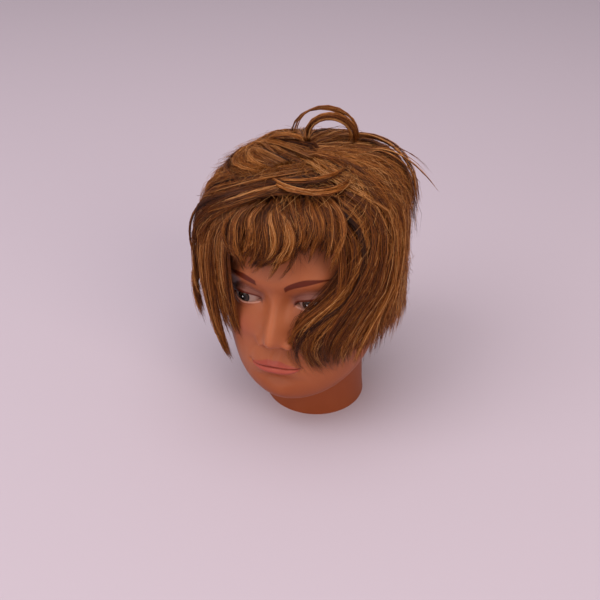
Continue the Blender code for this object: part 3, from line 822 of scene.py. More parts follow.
def strands_of(paths, width, strands, middle, frizz, taper=0.35, vary=0.13, shortest=0.78):
    """Strands round each path: arrays of centre lines and of their shades.

    Strands of a lock spread over an oval, wide along the head and thin outwards, that closes at the tip to
    the share taper. frizz is the size of their waves in millimetres, vary the spread of the locks' shades
    round middle, and shortest the least share of its length that a strand keeps.
    """
    count, steps, _ = paths.shape
    across, outward = sideways(paths)
    t = np.linspace(0, 1, steps)
    profile = (0.55 + 0.6 * np.sin(np.pi * np.minimum(t * 1.2, 1) * 0.55)) * (1 - (1 - taper) * t**2.2)
    turn = RANDOM.uniform(0, 2 * np.pi, (count, strands))
    reach = np.sqrt(RANDOM.uniform(0, 1, (count, strands)))
    a = reach * np.cos(turn)
    b = reach * np.sin(turn) * FLATNESS
    twist = RANDOM.uniform(-1.2, 1.2, (count, 1, 1)) * t
    a_now = a[..., None] * np.cos(twist) - b[..., None] * np.sin(twist)
    b_now = a[..., None] * np.sin(twist) * FLATNESS + b[..., None] * np.cos(twist)
    wide = np.asarray(width, float).reshape(-1, 1, 1) * profile
    phase = RANDOM.uniform(0, 2 * np.pi, (count, strands, 1, 4))
    speed = RANDOM.uniform(0.6, 2.8, (count, strands, 1, 4))
    wave = np.sin(phase + speed * 2 * np.pi * t[None, None, :, None]) * (t**0.7)[None, None, :, None]
    size = frizz * (0.35 + 2.4 * RANDOM.uniform(0, 1, (count, strands, 1)) ** 4)
    offset_a = a_now * wide + size * (wave[..., 0] + 0.6 * wave[..., 1])
    offset_b = b_now * wide + size * 0.6 * (wave[..., 2] + 0.6 * wave[..., 3])
    lines = paths[:, None] + offset_a[..., None] * across[:, None] + offset_b[..., None] * outward[:, None]
    keep = RANDOM.uniform(shortest, 1, (count, strands))
    lines = shorten(lines.reshape(-1, steps, 3), keep.ravel())
    lock_shade = RANDOM.normal(0, vary, (count, 1))
    # Painted shade: the strands deep in each lock are darker.
    depth = PAINTED_DEPTH_SHADE * b / FLATNESS
    bright = BRIGHT_SHADE * (RANDOM.uniform(0, 1, (count, strands)) < BRIGHT_SHARE)
    own = RANDOM.normal(0, STRAND_VARY, (count, strands))
    shade = np.reshape(middle, (-1, 1)) + lock_shade + depth + bright + own
    return lines, np.clip(shade.ravel(), 0.02, 0.98)


def shorten(lines, keep):
    """Each strand cut to a share of its length."""
    count, steps, _ = lines.shape
    at = np.linspace(0, 1, steps) * keep[:, None] * (steps - 1)
    i = np.minimum(at.astype(int), steps - 2)
    t = (at - i)[..., None]
    rows = np.arange(count)[:, None]
    return lines[rows, i] * (1 - t) + lines[rows, i + 1] * t


def strand_faces(steps):
    """Triangles of one closed strand: a point at its root, rings of three corners, and a point at its tip."""
    rings = steps - 2
    tip = 3 * rings + 1
    faces = []
    for corner in range(3):
        beside = (corner + 1) % 3
        faces.append((0, 1 + beside, 1 + corner))
        for ring in range(rings - 1):
            a, b = 1 + 3 * ring + corner, 1 + 3 * ring + beside
            faces += [(a, b, b + 3), (a, b + 3, a + 3)]
        faces.append((tip - 3 + corner, tip - 3 + beside, tip))
    return np.array(faces)


def strand_mesh(name, lines, shades, radius, material):
    """One object of thin closed three-sided strands that come to a point at both ends."""
    count, steps, _ = lines.shape
    across, outward = sideways(lines)
    t = np.linspace(0, 1, steps)
    thick = RANDOM.uniform(0.8, 1.25, (count, 1)) * radius * (1 - 0.65 * t**3)
    turn = -2 * np.pi * np.arange(3)[:, None] / 3
    corners = np.cos(turn) * across[:, 1:-1, None] + np.sin(turn) * outward[:, 1:-1, None]
    rings = lines[:, 1:-1, None] + thick[:, 1:-1, None, None] * corners
    points = np.concatenate([lines[:, :1], rings.reshape(count, -1, 3), lines[:, -1:]], axis=1)
    each = points.shape[1]
    faces = (strand_faces(steps) + np.arange(count)[:, None, None] * each).reshape(-1, 3)
    obj = mesh_object(name, lean(points.reshape(-1, 3)), faces, material)
    along = np.concatenate([t[:1], np.repeat(t[1:-1], 3), t[-1:]])
    values = np.stack(np.broadcast_arrays(np.asarray(shades)[:, None], along, 0, 1), -1).reshape(-1, 4)
    add_attribute(obj, "strand", values)
    unwrapped = obj.data.uv_layers.new(name="OFBake")
    places = values[faces.ravel(), :2] * 0.98 + 0.01
    unwrapped.data.foreach_set("uv", places.astype(np.float32).ravel())
    return obj


def hair_material():
    """Brown to gold by each strand's shade, darker at its root as painted shade where it goes into the hair,
    and lighter at its tip.
    """
    made = Nodes("hair")
    split = made.attribute("strand")[1]
    tones = (
        (0, (36, 13, 2)), (0.28, (76, 34, 6)), (0.55, (128, 68, 18)),
        (0.8, (173, 109, 50)), (1, (207, 150, 94)),
    )
    colour = made.ramp(split[0], [(place, srgb(*tone)) for place, tone in tones])
    # Painted shade: each strand darkens towards its root.
    root_shade_lengthwise = (
        (0, (0.45, 0.4, 0.36)), (0.35, (0.9, 0.88, 0.86)),
        (0.8, (1.04, 1.04, 1.02)), (1, (1.3, 1.28, 1.22)),
    )
    made.link(made.mix(1, colour, made.ramp(split[1], root_shade_lengthwise), "MULTIPLY"), "Base Color")
    made.set(Roughness=0.42, Specular_IOR_Level=0.26)
    return made.material


def crown_height(x, y):
    """Height of the top of the hair above a point."""
    angle = math.degrees(math.atan2(x - HAIR_AXIS_X, HAIR_AXIS_Y - y))
    edge = envelope(np.array(angle), np.array(1), 0)
    reach = math.hypot(edge[0] - HAIR_AXIS_X, edge[1] - HAIR_AXIS_Y)
    share = min(math.hypot(x - HAIR_AXIS_X, y - HAIR_AXIS_Y) / reach, 1)
    return HAIR_SHOULDER_Z + (HAIR_TOP_Z - HAIR_SHOULDER_Z) * (1 - share**HAIR_EDGE) ** (1 / HAIR_CROWN)


def courses(*guides):
    """Guide locks as rows of (angle, drop, lift), from degrees, hundredths of the drop and millimetres."""
    return np.array(guides, float).transpose(0, 2, 1) / (1, 100, 1)


def layer(guides, lift, share=1, root=0):
    """The guides of another layer: lifted, with their drops drawn towards root to a share of their length."""
    moved = np.array(guides, float)
    moved[..., 1] = root + share * (moved[..., 1] - root)
    moved[..., 2] += lift
    return moved


class Section:
    """The strands of one piece of hair."""

    def __init__(self, name, *nodes, radius=STRAND_RADIUS):
        self.name = name
        self.nodes = nodes
        self.radius = radius
        self.lines = []
        self.shades = []

    def locks(self, paths, width, strands, shade, **options):
        lines, shades = strands_of(paths, width, strands, shade, **options)
        self.lines.append(lines)
        self.shades.append(shades)

    def fan(self, guides, count, width, strands, wander=(2, 0.012, 1), sway=1.2, *, shade, **options):
        """Locks between guide locks, or along a single one. Each guide is rows of (angle, drop, lift).

        wander is how far a whole lock strays in each of those, and sway how far it winds, in degrees.
        """
        guides = np.array(guides, float)
        if len(guides) == 1:
            guides = np.repeat(guides, 2, axis=0)
        at = (np.arange(count) + RANDOM.uniform(0.1, 0.9, count)) / count * (len(guides) - 1)
        i = np.minimum(at.astype(int), len(guides) - 2)
        t = (at - i)[:, None, None]
        controls = guides[i] * (1 - t) + guides[i + 1] * t
        along = np.linspace(0, 1, controls.shape[1])
        shift = RANDOM.normal(0, 1, (count, 1, 3)) * wander
        phase = RANDOM.uniform(0, 2 * np.pi, (count, 1))
        bend = np.sin(phase + RANDOM.uniform(3, 6, (count, 1)) * along)
        bend = bend * RANDOM.uniform(0.3, 1, (count, 1))
        controls = controls + shift
        controls[..., 0] += sway * bend
        controls[:, -1, 1] += RANDOM.normal(0, 0.03, count)
        paths = resample(envelope(*np.moveaxis(controls, -1, 0)), POINTS)
        tones = np.atleast_1d(shade)
        tone = np.interp(at, np.linspace(0, len(guides) - 1, len(tones)), tones)
        self.locks(paths, RANDOM.uniform(0.7, 1.3, count) * width, strands, tone, **options)

    def bend(self, points, width, strands, copies=1, spread=0, **options):
        """Locks through points in millimetres."""
        paths = resample(np.array([points], float), POINTS)
        paths = paths + RANDOM.normal(0, 1, (copies, 1, 3)) * spread
        self.locks(paths, np.full(copies, width, float), strands, **options)

    def wisps(self, count, angles, drops, lift, length, swing, rise, shade=0.6):
        """Single loose hairs that leave the surface."""
        start = RANDOM.uniform(*angles, count)
        top = RANDOM.uniform(*drops, count)
        reach = RANDOM.uniform(*length, count)
        turn = RANDOM.uniform(-swing, swing, count)
        lifted = RANDOM.uniform(*lift, count)
        out = RANDOM.exponential(rise, count)
        reach = np.minimum(reach, np.where(np.abs(start) < FACE_ANGLE, FACE_DROP - top, 9))
        curl = RANDOM.normal(0, 1, (2, count))
        controls = []
        for t in np.linspace(0, 1, 5):
            angle = start + turn * t + 6 * curl[0] * t * t
            drop = top + reach * t
            height = lifted - 2 * (1 - t) + np.minimum(out, 9) * np.sin(t * (1.7 + 0.5 * curl[1]))
            controls.append(envelope(angle, drop, height))
        paths = resample(np.stack(controls, 1), POINTS)
        self.locks(paths, np.full(count, 0.6), 1, shade, frizz=0.9)

    def piece(self, material):
        lines, shades = np.concatenate(self.lines), np.concatenate(self.shades)
        piece = strand_mesh(self.name, lines, shades, self.radius, material)
        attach(piece, "root")
        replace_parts(piece, *self.nodes)


def fringe_hair():
    """Locks that bulge to the head's left and hook back to its right at their tips."""
    angles = (-26, -16, -9, -2, 6, 13, 22, 32, 40)
    ends = (0.8, 0.83, 0.87, 0.91, 0.87, 0.8, 0.78, 0.79, 0.84)
    rows = [
        (
            (0.7 * a + 5, 0.34, -9), (0.9 * a + 2, 0.46, -6), (a, 0.57, -4), (a, 0.67, -4),
            (a, 0.76, -4), (a - 3, end, -6),
        )
        for a, end in zip(angles, ends)
    ]
    # The under layer's dark shade is painted shade beneath the locks.
    under = Section("fringe_under", "hair_fringe")
    under.fan(rows, 46, 5.5, 44, sway=2, shade=0.15, frizz=1.5)
    guides = courses(
        ((-12, -17, -19.5, -20, -19.5, -18, -16), (48, 57, 66, 73, 79, 83, 86), (-4, -1, 1, 1, 0, -1, -2)),
        ((-9, -14, -15, -14, -12.5, -10.5, -8), (47, 57, 66, 74, 80, 85, 89), (-4, 0, 1, 1, 1, 0, -2)),
        ((-3, -6, -7, -5.5, -5.5, -8, -12), (46, 56, 64, 71, 77, 83, 88), (-5, -1, 2, 2, 1, 0, -3)),
        ((0, -2, -2, -1, -1.5, -4, -8), (45, 55, 64, 72, 80, 87, 93), (-5, -2, 0, 0, 0, -1, -3)),
        ((4, 2, 2.5, 4.5, 4.5, 2, -5), (44, 54, 62, 70, 78, 85, 91), (-5, -1, 2, 3, 2, 1, -3)),
        ((7, 6, 8, 9.5, 9, 5.5, -1), (43, 53, 62, 70, 78, 86, 93), (-5, -2, 0, 0, 0, -1, -3)),
        ((4, 8, 12.5, 14.5, 14, 10.5, 2), (46, 55, 62, 69, 77, 85, 93), (-4, 0, 2, 3, 2, 1, -3)),
        ((16, 17, 19, 19.5, 19, 17.5, 15), (42, 52, 61, 69, 75, 80, 84), (-5, -2, 0, 0, -1, -2, -4)),
        ((22, 22.5, 24, 24.5, 24, 22.5, 20), (42, 50, 58, 66, 72, 78, 83), (-5, -1, 0, 1, 0, -2, -4)),
        ((25, 27, 28, 28.5, 27.5, 25.5, 23), (42, 50, 58, 66, 73, 79, 83), (-5, -1, 2, 3, 2, 0, -3)),
        ((31, 33, 34, 34, 33, 31.5, 30), (42, 51, 60, 68, 75, 81, 85), (-5, -3, -2, -2, -2, -3, -4)),
        ((35, 38, 39.5, 39, 37.5, 34.5, 31), (43, 53, 62, 71, 78, 86, 94), (-5, -1, 1, 2, 1, 0, -3)),
    )
    # The darker bundles, and the thin locks between them, stand for painted shade in the gaps between lighter
    # locks.
    shades = (0.36, 0.4, 0.5, 0.22, 0.53, 0.24, 0.54, 0.2, 0.28, 0.46, 0.18, 0.44)
    top = Section("fringe_locks", "hair_fringe")
    whole = {"taper": 0.12, "vary": 0.06, "shortest": 0.9}
    for guide, shade in zip(guides, shades):
        top.fan([guide], 3, 2.7, 56, (1.2, 0.012, 0.8), 0.7, shade=shade, frizz=0.9, **whole)
    top.fan(guides, 34, 2.2, 26, (2.5, 0.03, 1.2), 2, shade=0.3, frizz=1.4, taper=0.15, shortest=0.88)
    return [under, top]


def left_front_hair():
    """The curtain over the left cheek: it swings forward below the brow and hangs beside the nose."""
    guides = courses(
        ((34, 43, 48, 50, 45, 33, 22, 16, 17, 23), (40, 55, 70, 84, 98, 112, 127, 146, 166, 188),
         (-7, -3, -1, -1, -1, -1, -1, 0, -1, -4)),
        ((38, 49, 55, 55, 50, 36, 27, 22, 22, 28), (38, 55, 70, 85, 99, 114, 131, 150, 168, 186),
         (-6, -1, 0, 0, 0, 0, 0, 0, -1, -3)),
        ((40, 56, 60, 58, 52, 44, 37, 33, 32, 34), (36, 52, 70, 87, 102, 117, 135, 153, 170, 184),
         (-4, 1, 3, 3, 2, 2, 2, 1, 0, -2)),
        ((50, 66, 70, 69, 65, 59, 53, 50, 48, 48), (34, 52, 70, 87, 103, 119, 136, 152, 167, 180),
         (-4, 1, 3, 2, 2, 1, 1, 0, -1, -2)),
        ((60, 76, 80, 80, 77, 73, 69, 66, 64, 63), (32, 52, 70, 87, 103, 119, 135, 150, 164, 179),
         (-3, 1, 2, 1, 0, 0, 0, -1, -1, -2)),
    )
    # Shades run from the curtain's inner edge outwards: darker towards the face as painted shade, with a dark
    # under layer as painted shade beneath the locks.
    under = Section("left_front_under", "hair_left_front")
    under.fan(layer(guides, -LINING, 0.95, 0.34), 34, 6, 66, sway=2, shade=(0.18, 0.22, 0.24), frizz=1.8)
    top = Section("left_front_locks", "hair_left_front")
    top.fan(guides, 50, 2.9, 38, (2, 0.04, 1.4), 3, shade=(0.32, 0.38, 0.44), frizz=1.6, taper=0.12)
    top.fan(guides, 30, 1.7, 20, (3, 0.05, 1.6), 5, shade=(0.42, 0.52), frizz=2.2, taper=0.1)
    veil = courses(
        ((30, 36, 37, 35, 31), (56, 70, 84, 96, 107), (-3, 0, 0, 0, -1)),
        ((36, 41, 42, 38, 32), (56, 72, 87, 101, 114), (-3, 0, 0, 0, -1)),
    )
    top.fan(veil, 9, 2, 6, (1.8, 0.03, 0.6), 1.5, shade=0.42, frizz=1.2, taper=0.4)
    return [under, top]


def left_side_hair():
    """Layered hair over the left ear, which tucks in behind it."""
    guides = courses(
        ((66, 82, 86, 86, 84, 81, 77, 74, 72, 71), (32, 52, 70, 87, 103, 119, 135, 150, 164, 178),
         (-5, -1, 0, -2, -3, -3, -2, -2, -2, -3)),
        ((84, 100, 102, 101, 99, 97, 95, 93, 92, 91), (30, 50, 70, 84, 100, 117, 132, 146, 161, 175),
         (-5, -1, -3, -8, -11, -11, -9, -5, -3, -4)),
        ((106, 121, 126, 128, 127, 125, 123, 121, 120, 119), (30, 50, 70, 85, 102, 118, 132, 146, 160, 176),
         (-5, -2, -4, -9, -12, -12, -10, -8, -7, -9)),
    )
    piece = Section("left_side_locks", "hair_left_side")
    # Dark lining: painted shade beneath the locks.
    piece.fan(layer(guides, -LINING), 16, 8, 56, sway=3, shade=0.24, frizz=1.8)
    piece.fan(guides, 42, 3.2, 38, (3, 0.05, 1.6), 6, shade=0.45, frizz=1.7, taper=0.12)
    piece.fan(guides, 26, 1.8, 20, (4, 0.06, 1.8), 9, shade=0.56, frizz=2.2, taper=0.1)
    return [piece]


def right_hair():
    """The ragged clumps on the head's right, and the arc that stands off at its crown."""
    front = Section("right_front_locks", "hair_right_front")
    temple = courses(
        ((-12, -24, -28.5, -29.5, -30, -30.5, -31, -33, -32, -28),
         (50, 66, 82, 98, 114, 132, 150, 168, 182, 195), (-3, 0, 0, 0, 0, 0, 0, -1, -2, -3)),
        ((-20, -31, -37, -39, -40, -40, -40, -40, -38, -34), (50, 66, 82, 98, 114, 132, 150, 166, 180, 193),
         (-3, -1, -1, 0, 0, 0, 0, -1, -2, -3)),
    )
    front.fan(temple, 14, 2.6, 46, (1.6, 0.03, 1), 1.6, shade=0.5, frizz=1.3, taper=0.12)
    wispy = courses(
        ((-8, -17, -19, -20, -21, -21.5, -21.5, -21.5, -20.5), (52, 66, 80, 94, 108, 122, 136, 148, 160),
         (-4, -1, -3, -5, -6, -6, -6, -7, -8)),
        ((-13, -22, -26, -28, -29, -29, -29, -29, -28), (52, 66, 80, 94, 108, 122, 136, 150, 164),
         (-4, 0, -1, -2, -3, -3, -3, -4, -5)),
    )
    front.fan(wispy, 20, 1.6, 24, (0.9, 0.06, 0.6), shade=0.56, frizz=1.4, taper=0.1)
    outer = courses(
        ((-30, -42, -48, -50, -50, -50, -50, -48), (50, 68, 85, 100, 112, 122, 132, 142),
         (-5, -5, -4, -1, 1, 2, 2, 1)),
        ((-40, -56, -65, -69, -71, -71, -68, -62), (48, 67, 85, 100, 116, 133, 152, 170),
         (-8, -10, -11, -8, 0, 9, 10, 6)),
    )
    front.fan(outer, 16, 2.6, 40, (2.2, 0.04, 1), 2, shade=0.5, frizz=1.4, taper=0.12)
    front.fan(outer[1:], 6, 2.2, 44, (2.5, 0.04, 1), 1.5, shade=0.5, frizz=1.2, taper=0.12, shortest=0.9)
    backing = np.concatenate([outer[:, :6], temple[:, :6]])
    # Dark backing: painted shade beneath the locks.
    front.fan(layer(backing, -LINING), 14, 6, 44, sway=2, shade=0.22, frizz=1.8)

    side = Section("right_side_locks", "hair_right_side")
    guides = courses(
        ((-56, -63, -67, -69, -70, -70, -70, -69, -67), (34, 50, 66, 82, 98, 114, 130, 144, 158),
         (-9, -9, -11, -12, -12, -8, -4, -3, -4)),
        ((-86, -91, -94, -96, -97, -97, -96, -95, -94), (34, 50, 66, 84, 100, 116, 134, 152, 170),
         (-10, -10, -12, -13, -12, -9, -6, -5, -6)),
        ((-112, -118, -122, -124, -125, -125, -124, -123, -121), (30, 48, 66, 84, 100, 118, 138, 158, 178),
         (-5, -4, -5, -6, -5, -4, -4, -5, -6)),
    )
    # Dark lining: painted shade beneath the locks.
    side.fan(layer(guides, -LINING), 18, 8, 46, sway=3, shade=0.24, frizz=1.8)
    side.fan(guides, 40, 3.4, 40, (3, 0.06, 1.4), 5, shade=0.46, frizz=1.5, taper=0.15)
    side.fan(guides, 20, 1.8, 20, (4, 0.08, 1.6), 8, shade=0.56, frizz=2, taper=0.12)
    arc = courses((
        (-50, -62, -67, -69, -69.5, -69, -66),
        (55, 70, 81, 90, 98, 106, 116),
        (-5, -5, -2, 3, 6, 5, -2),
    ))
    side.fan(arc, 3, 1.3, 40, (0.8, 0.008, 0.5), 0.4, shade=0.48, frizz=0.4, taper=0.15)
    return [front, side]


def back_hair():
    """The layered back: a lining darkened as painted shade beneath the locks, a long layer and a shorter one
    over it, and the nape below.
    """
    made = []
    for side, name in ((1, "left"), (-1, "right")):
        long = [
            (
                (side * (a - 14), 0.3, tuck - 3), (side * a, 0.5, tuck), (side * a, 0.7, tuck),
                (side * a, 0.87, tuck), (side * a, 1.04, tuck), (side * (a + 1), 1.2, tuck),
                (side * (a + 2), 1.38, tuck - 1), (side * a, 1.58, tuck - 3),
            )
            for a, tuck in ((110, -10), (130, -6), (150, -1), (188, 0))
        ]
        over = layer(long, 2, 0.66, 0.3)
        piece = Section(f"back_{name}_locks", f"hair_back_{name}")
        piece.fan(layer(long, -LINING), 18, 9, 44, sway=3, shade=0.24, frizz=1.8)
        piece.fan(long, 36, 4.2, 38, (3, 0.07, 1.4), 5, shade=0.44, frizz=1.5, taper=0.15)
        piece.fan(over, 32, 3.2, 30, (5, 0.09, 1.4), 8, shade=0.52, frizz=1.9, taper=0.12)
        low = [
            (
                (side * a, 0.95, -12), (side * a, 1.15, -9), (side * a, 1.35, -8), (side * a, 1.55, -8),
                (side * (a + 1), 1.74, -9), (side * a, 1.94, -12),
            )
            for a in (108, 130, 156, 186)
        ]
        nape = Section(f"nape_{name}_locks", f"hair_nape_{name}")
        nape.fan(low, 44, 4.6, 40, (3, 0.06, 1.4), 4, shade=0.34, frizz=1.6, taper=0.15)
        made += [piece, nape]
    return made


def crown_hair():
    """The tousled top: a roll and a long sweep to the head's right, and matted hair to its left."""
    # The dark layer under the crown: painted shade beneath the locks.
    under = Section("crown_under", "hair_crown")
    ring = [
        ((a, 0.02, -8), (a, 0.2, -8), (a + 4, 0.38, -7), (a + 4, 0.56, -7), (a, 0.74, -7), (a, 0.9, -8))
        for a in range(-180, 181, 30)
    ]
    under.fan(ring, 60, 9, 42, sway=6, shade=0.3, frizz=2.8, vary=0.16)

    sweep = Section("crown_sweep", "hair_crown")
    sweeping = courses(
        ((100, 20, -50, -70, -78, -82, -84), (10, 12, 22, 38, 54, 70, 88), (-5, -3, -4, -3, -4, -9, -12)),
        ((70, 20, -25, -50, -61, -67, -69), (16, 18, 29, 43, 59, 74, 90), (-5, -2, -2, -3, -4, -8, -11)),
        ((60, 22, -4, -28, -46, -57, -60), (23, 25, 33, 45, 58, 71, 86), (-5, -1, 1, 0, -2, -4, -5)),
        ((50, 18, -6, -22, -36, -45, -48), (30, 31, 39, 50, 62, 75, 90), (-4, 0, 2, 2, 1, -1, -2)),
        ((30, 6, -10, -24, -33, -38, -39), (37, 38, 46, 57, 70, 84, 98), (-4, 0, 2, 2, 1, 1, 0)),
    )
    sweep.fan(sweeping, 54, 2.2, 40, (3, 0.02, 1.5), 3.5, shade=0.37, frizz=1.5, taper=0.2, vary=0.24)
    roll = courses(
        ((40, -10, -95, -88, -70, -46, -14), (15, 9, 14, 24, 30, 30, 28), (-2, 3, 3, 3, 3, 3, 1)),
        ((60, 140, -118, -98, -78, -56, -26), (10, 4, 18, 30, 37, 38, 36), (-2, 2, 1, 1, 1, 2, 0)),
    )
    heart = courses(
        ((20, -50, -88, -84, -62, -34, -6), (10, 7, 11, 17, 20, 21, 20), (-1, 1, 2, 2, 2, 2, 0)),
        ((30, -30, -70, -82, -66, -40, -10), (14, 12, 15, 22, 26, 26, 25), (-1, 1, 2, 3, 3, 2, 0)),
    )
    sweep.fan(heart, 9, 3.4, 34, (5, 0.02, 1), 4, shade=0.5, frizz=2, taper=0.3, vary=0.2)
    sweep.fan(roll, 13, 2.9, 42, (3, 0.015, 1.2), 3.5, shade=0.55, frizz=1.6, taper=0.3, vary=0.22)

    mat = Section("crown_mat", "hair_crown")
    right = courses(
        ((-30, 40, 52, 56, 60, 62), (8, 10, 26, 42, 56, 70), (-3, -1, 0, 1, 2, 2)),
        ((-60, 60, 74, 78, 80, 80), (6, 8, 26, 43, 58, 74), (-3, -1, 0, 1, 2, 2)),
        ((-80, 90, 98, 101, 102, 98), (4, 10, 28, 46, 66, 90), (-3, -1, -1, 0, 3, 4)),
        ((-90, 120, 116, 115, 112, 106), (6, 12, 30, 49, 70, 95), (-3, -1, -1, 0, 2, 2)),
    )
    mat.fan(right, 72, 3.4, 34, (7, 0.04, 1.6), 9, shade=0.38, frizz=3, taper=0.4, vary=0.2)
    arcs = courses(
        ((150, 137, 124, 114, 107, 102), (18, 34, 48, 61, 74, 86), (2, 8, 11, 11, 9, 6)),
        ((132, 122, 112, 104, 98, 93), (20, 34, 46, 57, 68, 80), (1, 6, 9, 9, 8, 5)),
    )
    mat.fan(arcs, 9, 1.2, 20, (2.2, 0.02, 0.8), 1.5, shade=0.56, frizz=0.8, taper=0.1, shortest=0.9)

    back = Section("crown_back", "hair_crown")
    rear = courses(
        ((0, -130, -118, -112, -108, -106), (5, 14, 30, 47, 64, 84), (-3, 0, -4, -5, -6, -7)),
        ((0, -150, -142, -140, -138, -136), (5, 14, 30, 47, 64, 84), (-3, 0, 1, 0, 0, -1)),
        ((0, -176, -172, -170, -168, -168), (5, 14, 30, 47, 64, 84), (-3, 0, 1, 1, 3, 2)),
        ((0, -200, -202, -204, -206, -206), (5, 14, 30, 47, 64, 84), (-3, 0, 1, 1, 3, 2)),
        ((0, -226, -232, -236, -238, -240), (5, 14, 30, 47, 64, 84), (-3, 0, 1, 1, 3, 2)),
    )
    back.fan(rear, 78, 3.8, 38, (9, 0.05, 1.6), 10, shade=0.5, frizz=2, taper=0.25)

    loose = Section("crown_loose", "hair_crown")
    crescent = courses((
        (-14, -6, 3, 14, 29, 46, 64),
        (26.5, 30.5, 36, 41, 44.5, 44, 40),
        (-4, 0, 4, 6, 6, 5, 3),
    ))
    prong = courses(((-7, 3, 14, 28, 43, 55, 66), (28, 32, 34, 35, 34.5, 32.5, 30), (-3, 2, 5, 6, 6, 5, 4)))
    swirl = courses(
        ((0, -30, -62, -70, -58, -34, -12), (16, 15, 18, 23, 26, 27, 27), (0, 4, 6, 6, 5, 3, 1)),
        ((-4, -28, -46, -50, -42, -28, -12), (20, 19, 20, 22, 23.5, 24, 24), (0, 4, 6, 6, 6, 4, 1)),
        ((6, -30, -70, -78, -68, -48, -20), (12, 10, 13, 18, 22, 24, 24), (0, 4, 5, 6, 6, 4, 1)),
    )
    loose.fan(sweeping, 50, 0.8, 14, (3, 0.02, 1.6), 4.5, shade=0.4, frizz=1.4, taper=0.2, vary=0.32)
    loose.fan(swirl, 11, 3, 36, (4, 0.012, 0.8), 3, shade=0.5, frizz=1.8, taper=0.3, vary=0.16)
    loose.fan(crescent, 4, 1.25, 40, (1.4, 0.01, 0.6), 1, shade=0.5, frizz=0.8, taper=0.15, vary=0.12)
    loose.fan(prong, 3, 1, 34, (1.4, 0.008, 0.6), 1, shade=0.5, frizz=0.8, taper=0.15, vary=0.12)
    return [under, sweep, mat, back, loose]


def flyaways():
    """Single loose hairs that cross over the locks everywhere."""
    # Each row gives their number, angles, drops, lifts, lengths, swing and rise, and a shade of their own.
    tables = {
        ("crown", "hair_crown"): (
            (800, (-130, 130), (0, 0.38), (1, 3), (0.08, 0.28), 24, 1.2),
            (900, (62, 120), (0.1, 0.72), (1, 4), (0.08, 0.28), 26, 1.8),
            (500, (120, 235), (0.05, 0.7), (0.5, 2.5), (0.08, 0.3), 22, 1.5),
        ),
        ("left", "hair_left_front", "hair_left_side"): (
            (800, (53, 84), (0.5, 1.35), (0.5, 3), (0.15, 0.45), 15, 0.8),
            (300, (84, 122), (0.8, 1.4), (-9, -7), (0.1, 0.35), 12, 1),
        ),
        ("right", "hair_right_front", "hair_right_side"): (
            (300, (-76, -51), (0.6, 1.3), (-10, -6), (0.1, 0.3), 8, 1),
            (400, (-125, -70), (0.6, 1.4), (-10, -6), (0.1, 0.35), 12, 1.2),
        ),
        ("back", "hair_back_left", "hair_back_right"): (
            (700, (125, 235), (0.6, 1.4), (-1, 3), (0.1, 0.35), 13, 1.2),
        ),
        ("fringe", "hair_fringe"): ((260, (-30, 34), (0.46, 0.6), (0.5, 2.5), (0.1, 0.28), 8, 0.6, 0.42),),
    }
    sections = []
    for (name, *nodes), rows in tables.items():
        sections.append(Section(f"{name}_flyaways", *nodes, radius=FINE_RADIUS))
        for row in rows:
            sections[-1].wisps(*row)
    return sections


def curl(centre, half_width, half_height, first, last, depth, rise):
    """Points of a standing curl: part of an ellipse between two angles in degrees, over a spot (x, y)."""
    points = []
    foot = crown_height(*centre) + rise
    for t in np.linspace(0, 1, 11):
        a = math.radians(first + (last - first) * t)
        y = centre[1] + depth[0] + (depth[1] - depth[0]) * t
        points.append((centre[0] + half_width * math.cos(a), y, foot + half_height * math.sin(a)))
    return points


def loose_curls():
    """The curls that stand on the crown and the lock that strays to the head's left."""
    thick = Section("loop_locks", "hair_crown_loop")
    thin = Section("thin_loop_locks", "hair_crown_loop_thin")
    # Each row gives the curl; then its width, strands, copies and spread; then its shade, frizz and taper.
    curls = (
        (thick, ((19, 22), 19.5, 17, 205, -48, (-8, 6), 10), (2.6, 90, 2, 0.7), (0.48, 0.4, 0.9)),
        (thick, ((19, 22), 16.5, 14, 200, -45, (-7, 5), 10), (1.7, 50, 2, 0.6), (0.58, 0.5, 0.9)),
        (thin, ((14, 24), 25.5, 21, 190, -34, (-6, 6), 9), (1.4, 44, 2, 0.7), (0.6, 0.4, 0.8)),
        (thin, ((16, 24), 25, 23.5, 186, -38, (-6, 6), 9), (0.5, 12, 1, 0), (0.6, 0.3, 0.8)),
        (thin, ((-16, 16), 17, 8, 185, 10, (0, 0), 1), (2, 46, 2, 0.8), (0.64, 0.8, 0.5)),
        (thin, ((20, 20), 17, 7, 170, 20, (0, 4), 7), (1.6, 6, 1, 0), (0.4, 2, 1)),
    )
    for section, ellipse, lock, (shade, frizz, taper) in curls:
        section.bend(curl(*ellipse), *lock, shade=shade, frizz=frizz, taper=taper)
    stray = Section("stray_locks", "hair_stray_lock")
    x, y = 50, 30
    root = crown_height(x, y) + 4
    # Each tuft gives its turn, length, rise, width and strands. The first is the longest.
    tufts = ((0, 57, 9, 0.8, 26), (3, 49, 18, 0.5, 7), (-6, 43, 9, 0.7, 20), (1, 53, 13.5, 0.4, 4))
    for turn, length, rise, width, strands in tufts:
        points = []
        for t in np.linspace(-0.4, 1, 9):
            fall = 50 * t * t * length / 59
            points.append((x + length * t, y + (8 + turn) * t + 0.6 * turn, root + rise * t - fall))
        stray.bend(points, width, strands, shade=0.46, frizz=0.5, taper=0.35)
    return [thick, thin, stray]


def make_hair(material):
    """Every lock of hair, in one piece for each section of the haircut."""
    sections = [*fringe_hair(), *left_front_hair(), *left_side_hair(), *right_hair()]
    sections += [*back_hair(), *crown_hair(), *loose_curls(), *flyaways()]
    for section in sections:
        section.piece(material)


# Stage


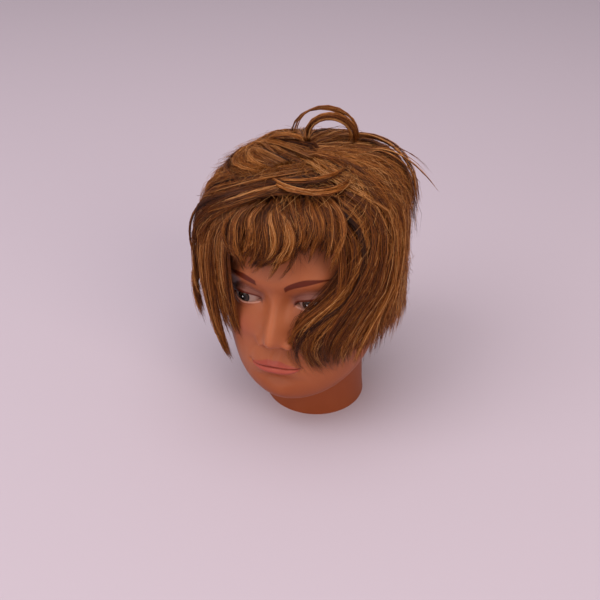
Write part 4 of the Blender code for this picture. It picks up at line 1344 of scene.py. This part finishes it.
def make_stage():
    bpy.ops.mesh.primitive_plane_add(size=12)
    floor = bpy.context.object
    floor.name = "floor"
    made = Nodes("pale_floor")
    made.set(Base_Color=opaque(srgb(191, 178, 190)), Roughness=0.7)
    floor.data.materials.append(made.material)


TARGET = Vector((0, 0, 0.12))  # what the lights shine at


def add_light(name, place, size, power, colour):
    light = bpy.data.lights.new(name, "AREA")
    light.shape = "DISK"
    light.size = size
    light.energy = power
    light.color = colour
    obj = new_object(name, light)
    obj.location = place
    obj.rotation_euler = (TARGET - Vector(place)).to_track_quat("-Z", "Y").to_euler()


def make_lights():
    world = bpy.data.worlds.new("studio")
    world.use_nodes = True
    background = world.node_tree.nodes["Background"]
    background.inputs["Color"].default_value = (1, 0.93, 0.96, 1)
    background.inputs["Strength"].default_value = 0.44
    bpy.context.scene.world = world
    bpy.context.scene.view_settings.view_transform = "Standard"
    add_light("key", (-1.5, -1.6, 2.4), 2.4, 39, (1, 0.95, 0.93))
    add_light("top", (0, -0.3, 2.3), 2.2, 23.5, (1, 0.95, 0.95))
    add_light("side", (-0.75, -1.85, 0.5), 1, 6.5, (1, 0.94, 0.92))
    add_light("fill", (1.7, -1.3, 1.4), 1.6, 24, (1, 0.86, 0.72))


CAMERA_PLACE = (0.1811, -0.5595, 0.483)
CAMERA_TURN = 19.4  # degrees from +Y towards -X
CAMERA_DOWN = 33.5
CAMERA_ROLL = 1


def make_camera():
    data = bpy.data.cameras.new("camera")
    data.lens = 48
    data.sensor_width = 36
    camera = new_object("camera", data)
    turn = Matrix.Rotation(math.radians(CAMERA_TURN), 4, "Z")
    tilt = Matrix.Rotation(math.radians(90 - CAMERA_DOWN), 4, "X")
    roll = Matrix.Rotation(math.radians(CAMERA_ROLL), 4, "Z")
    camera.matrix_world = Matrix.Translation(CAMERA_PLACE) @ turn @ tilt @ roll
    bpy.context.scene.camera = camera


def main():
    make_camera()
    make_stage()
    make_lights()
    head = make_head()
    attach(head, "root")
    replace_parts(head, "vinyl_skin")
    for name, side in (("left_eye", 1), ("right_eye", -1)):
        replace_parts(make_eye(f"{name}_ball", side), name)
    finish_frame_parts()
    make_hair(hair_material())


main()
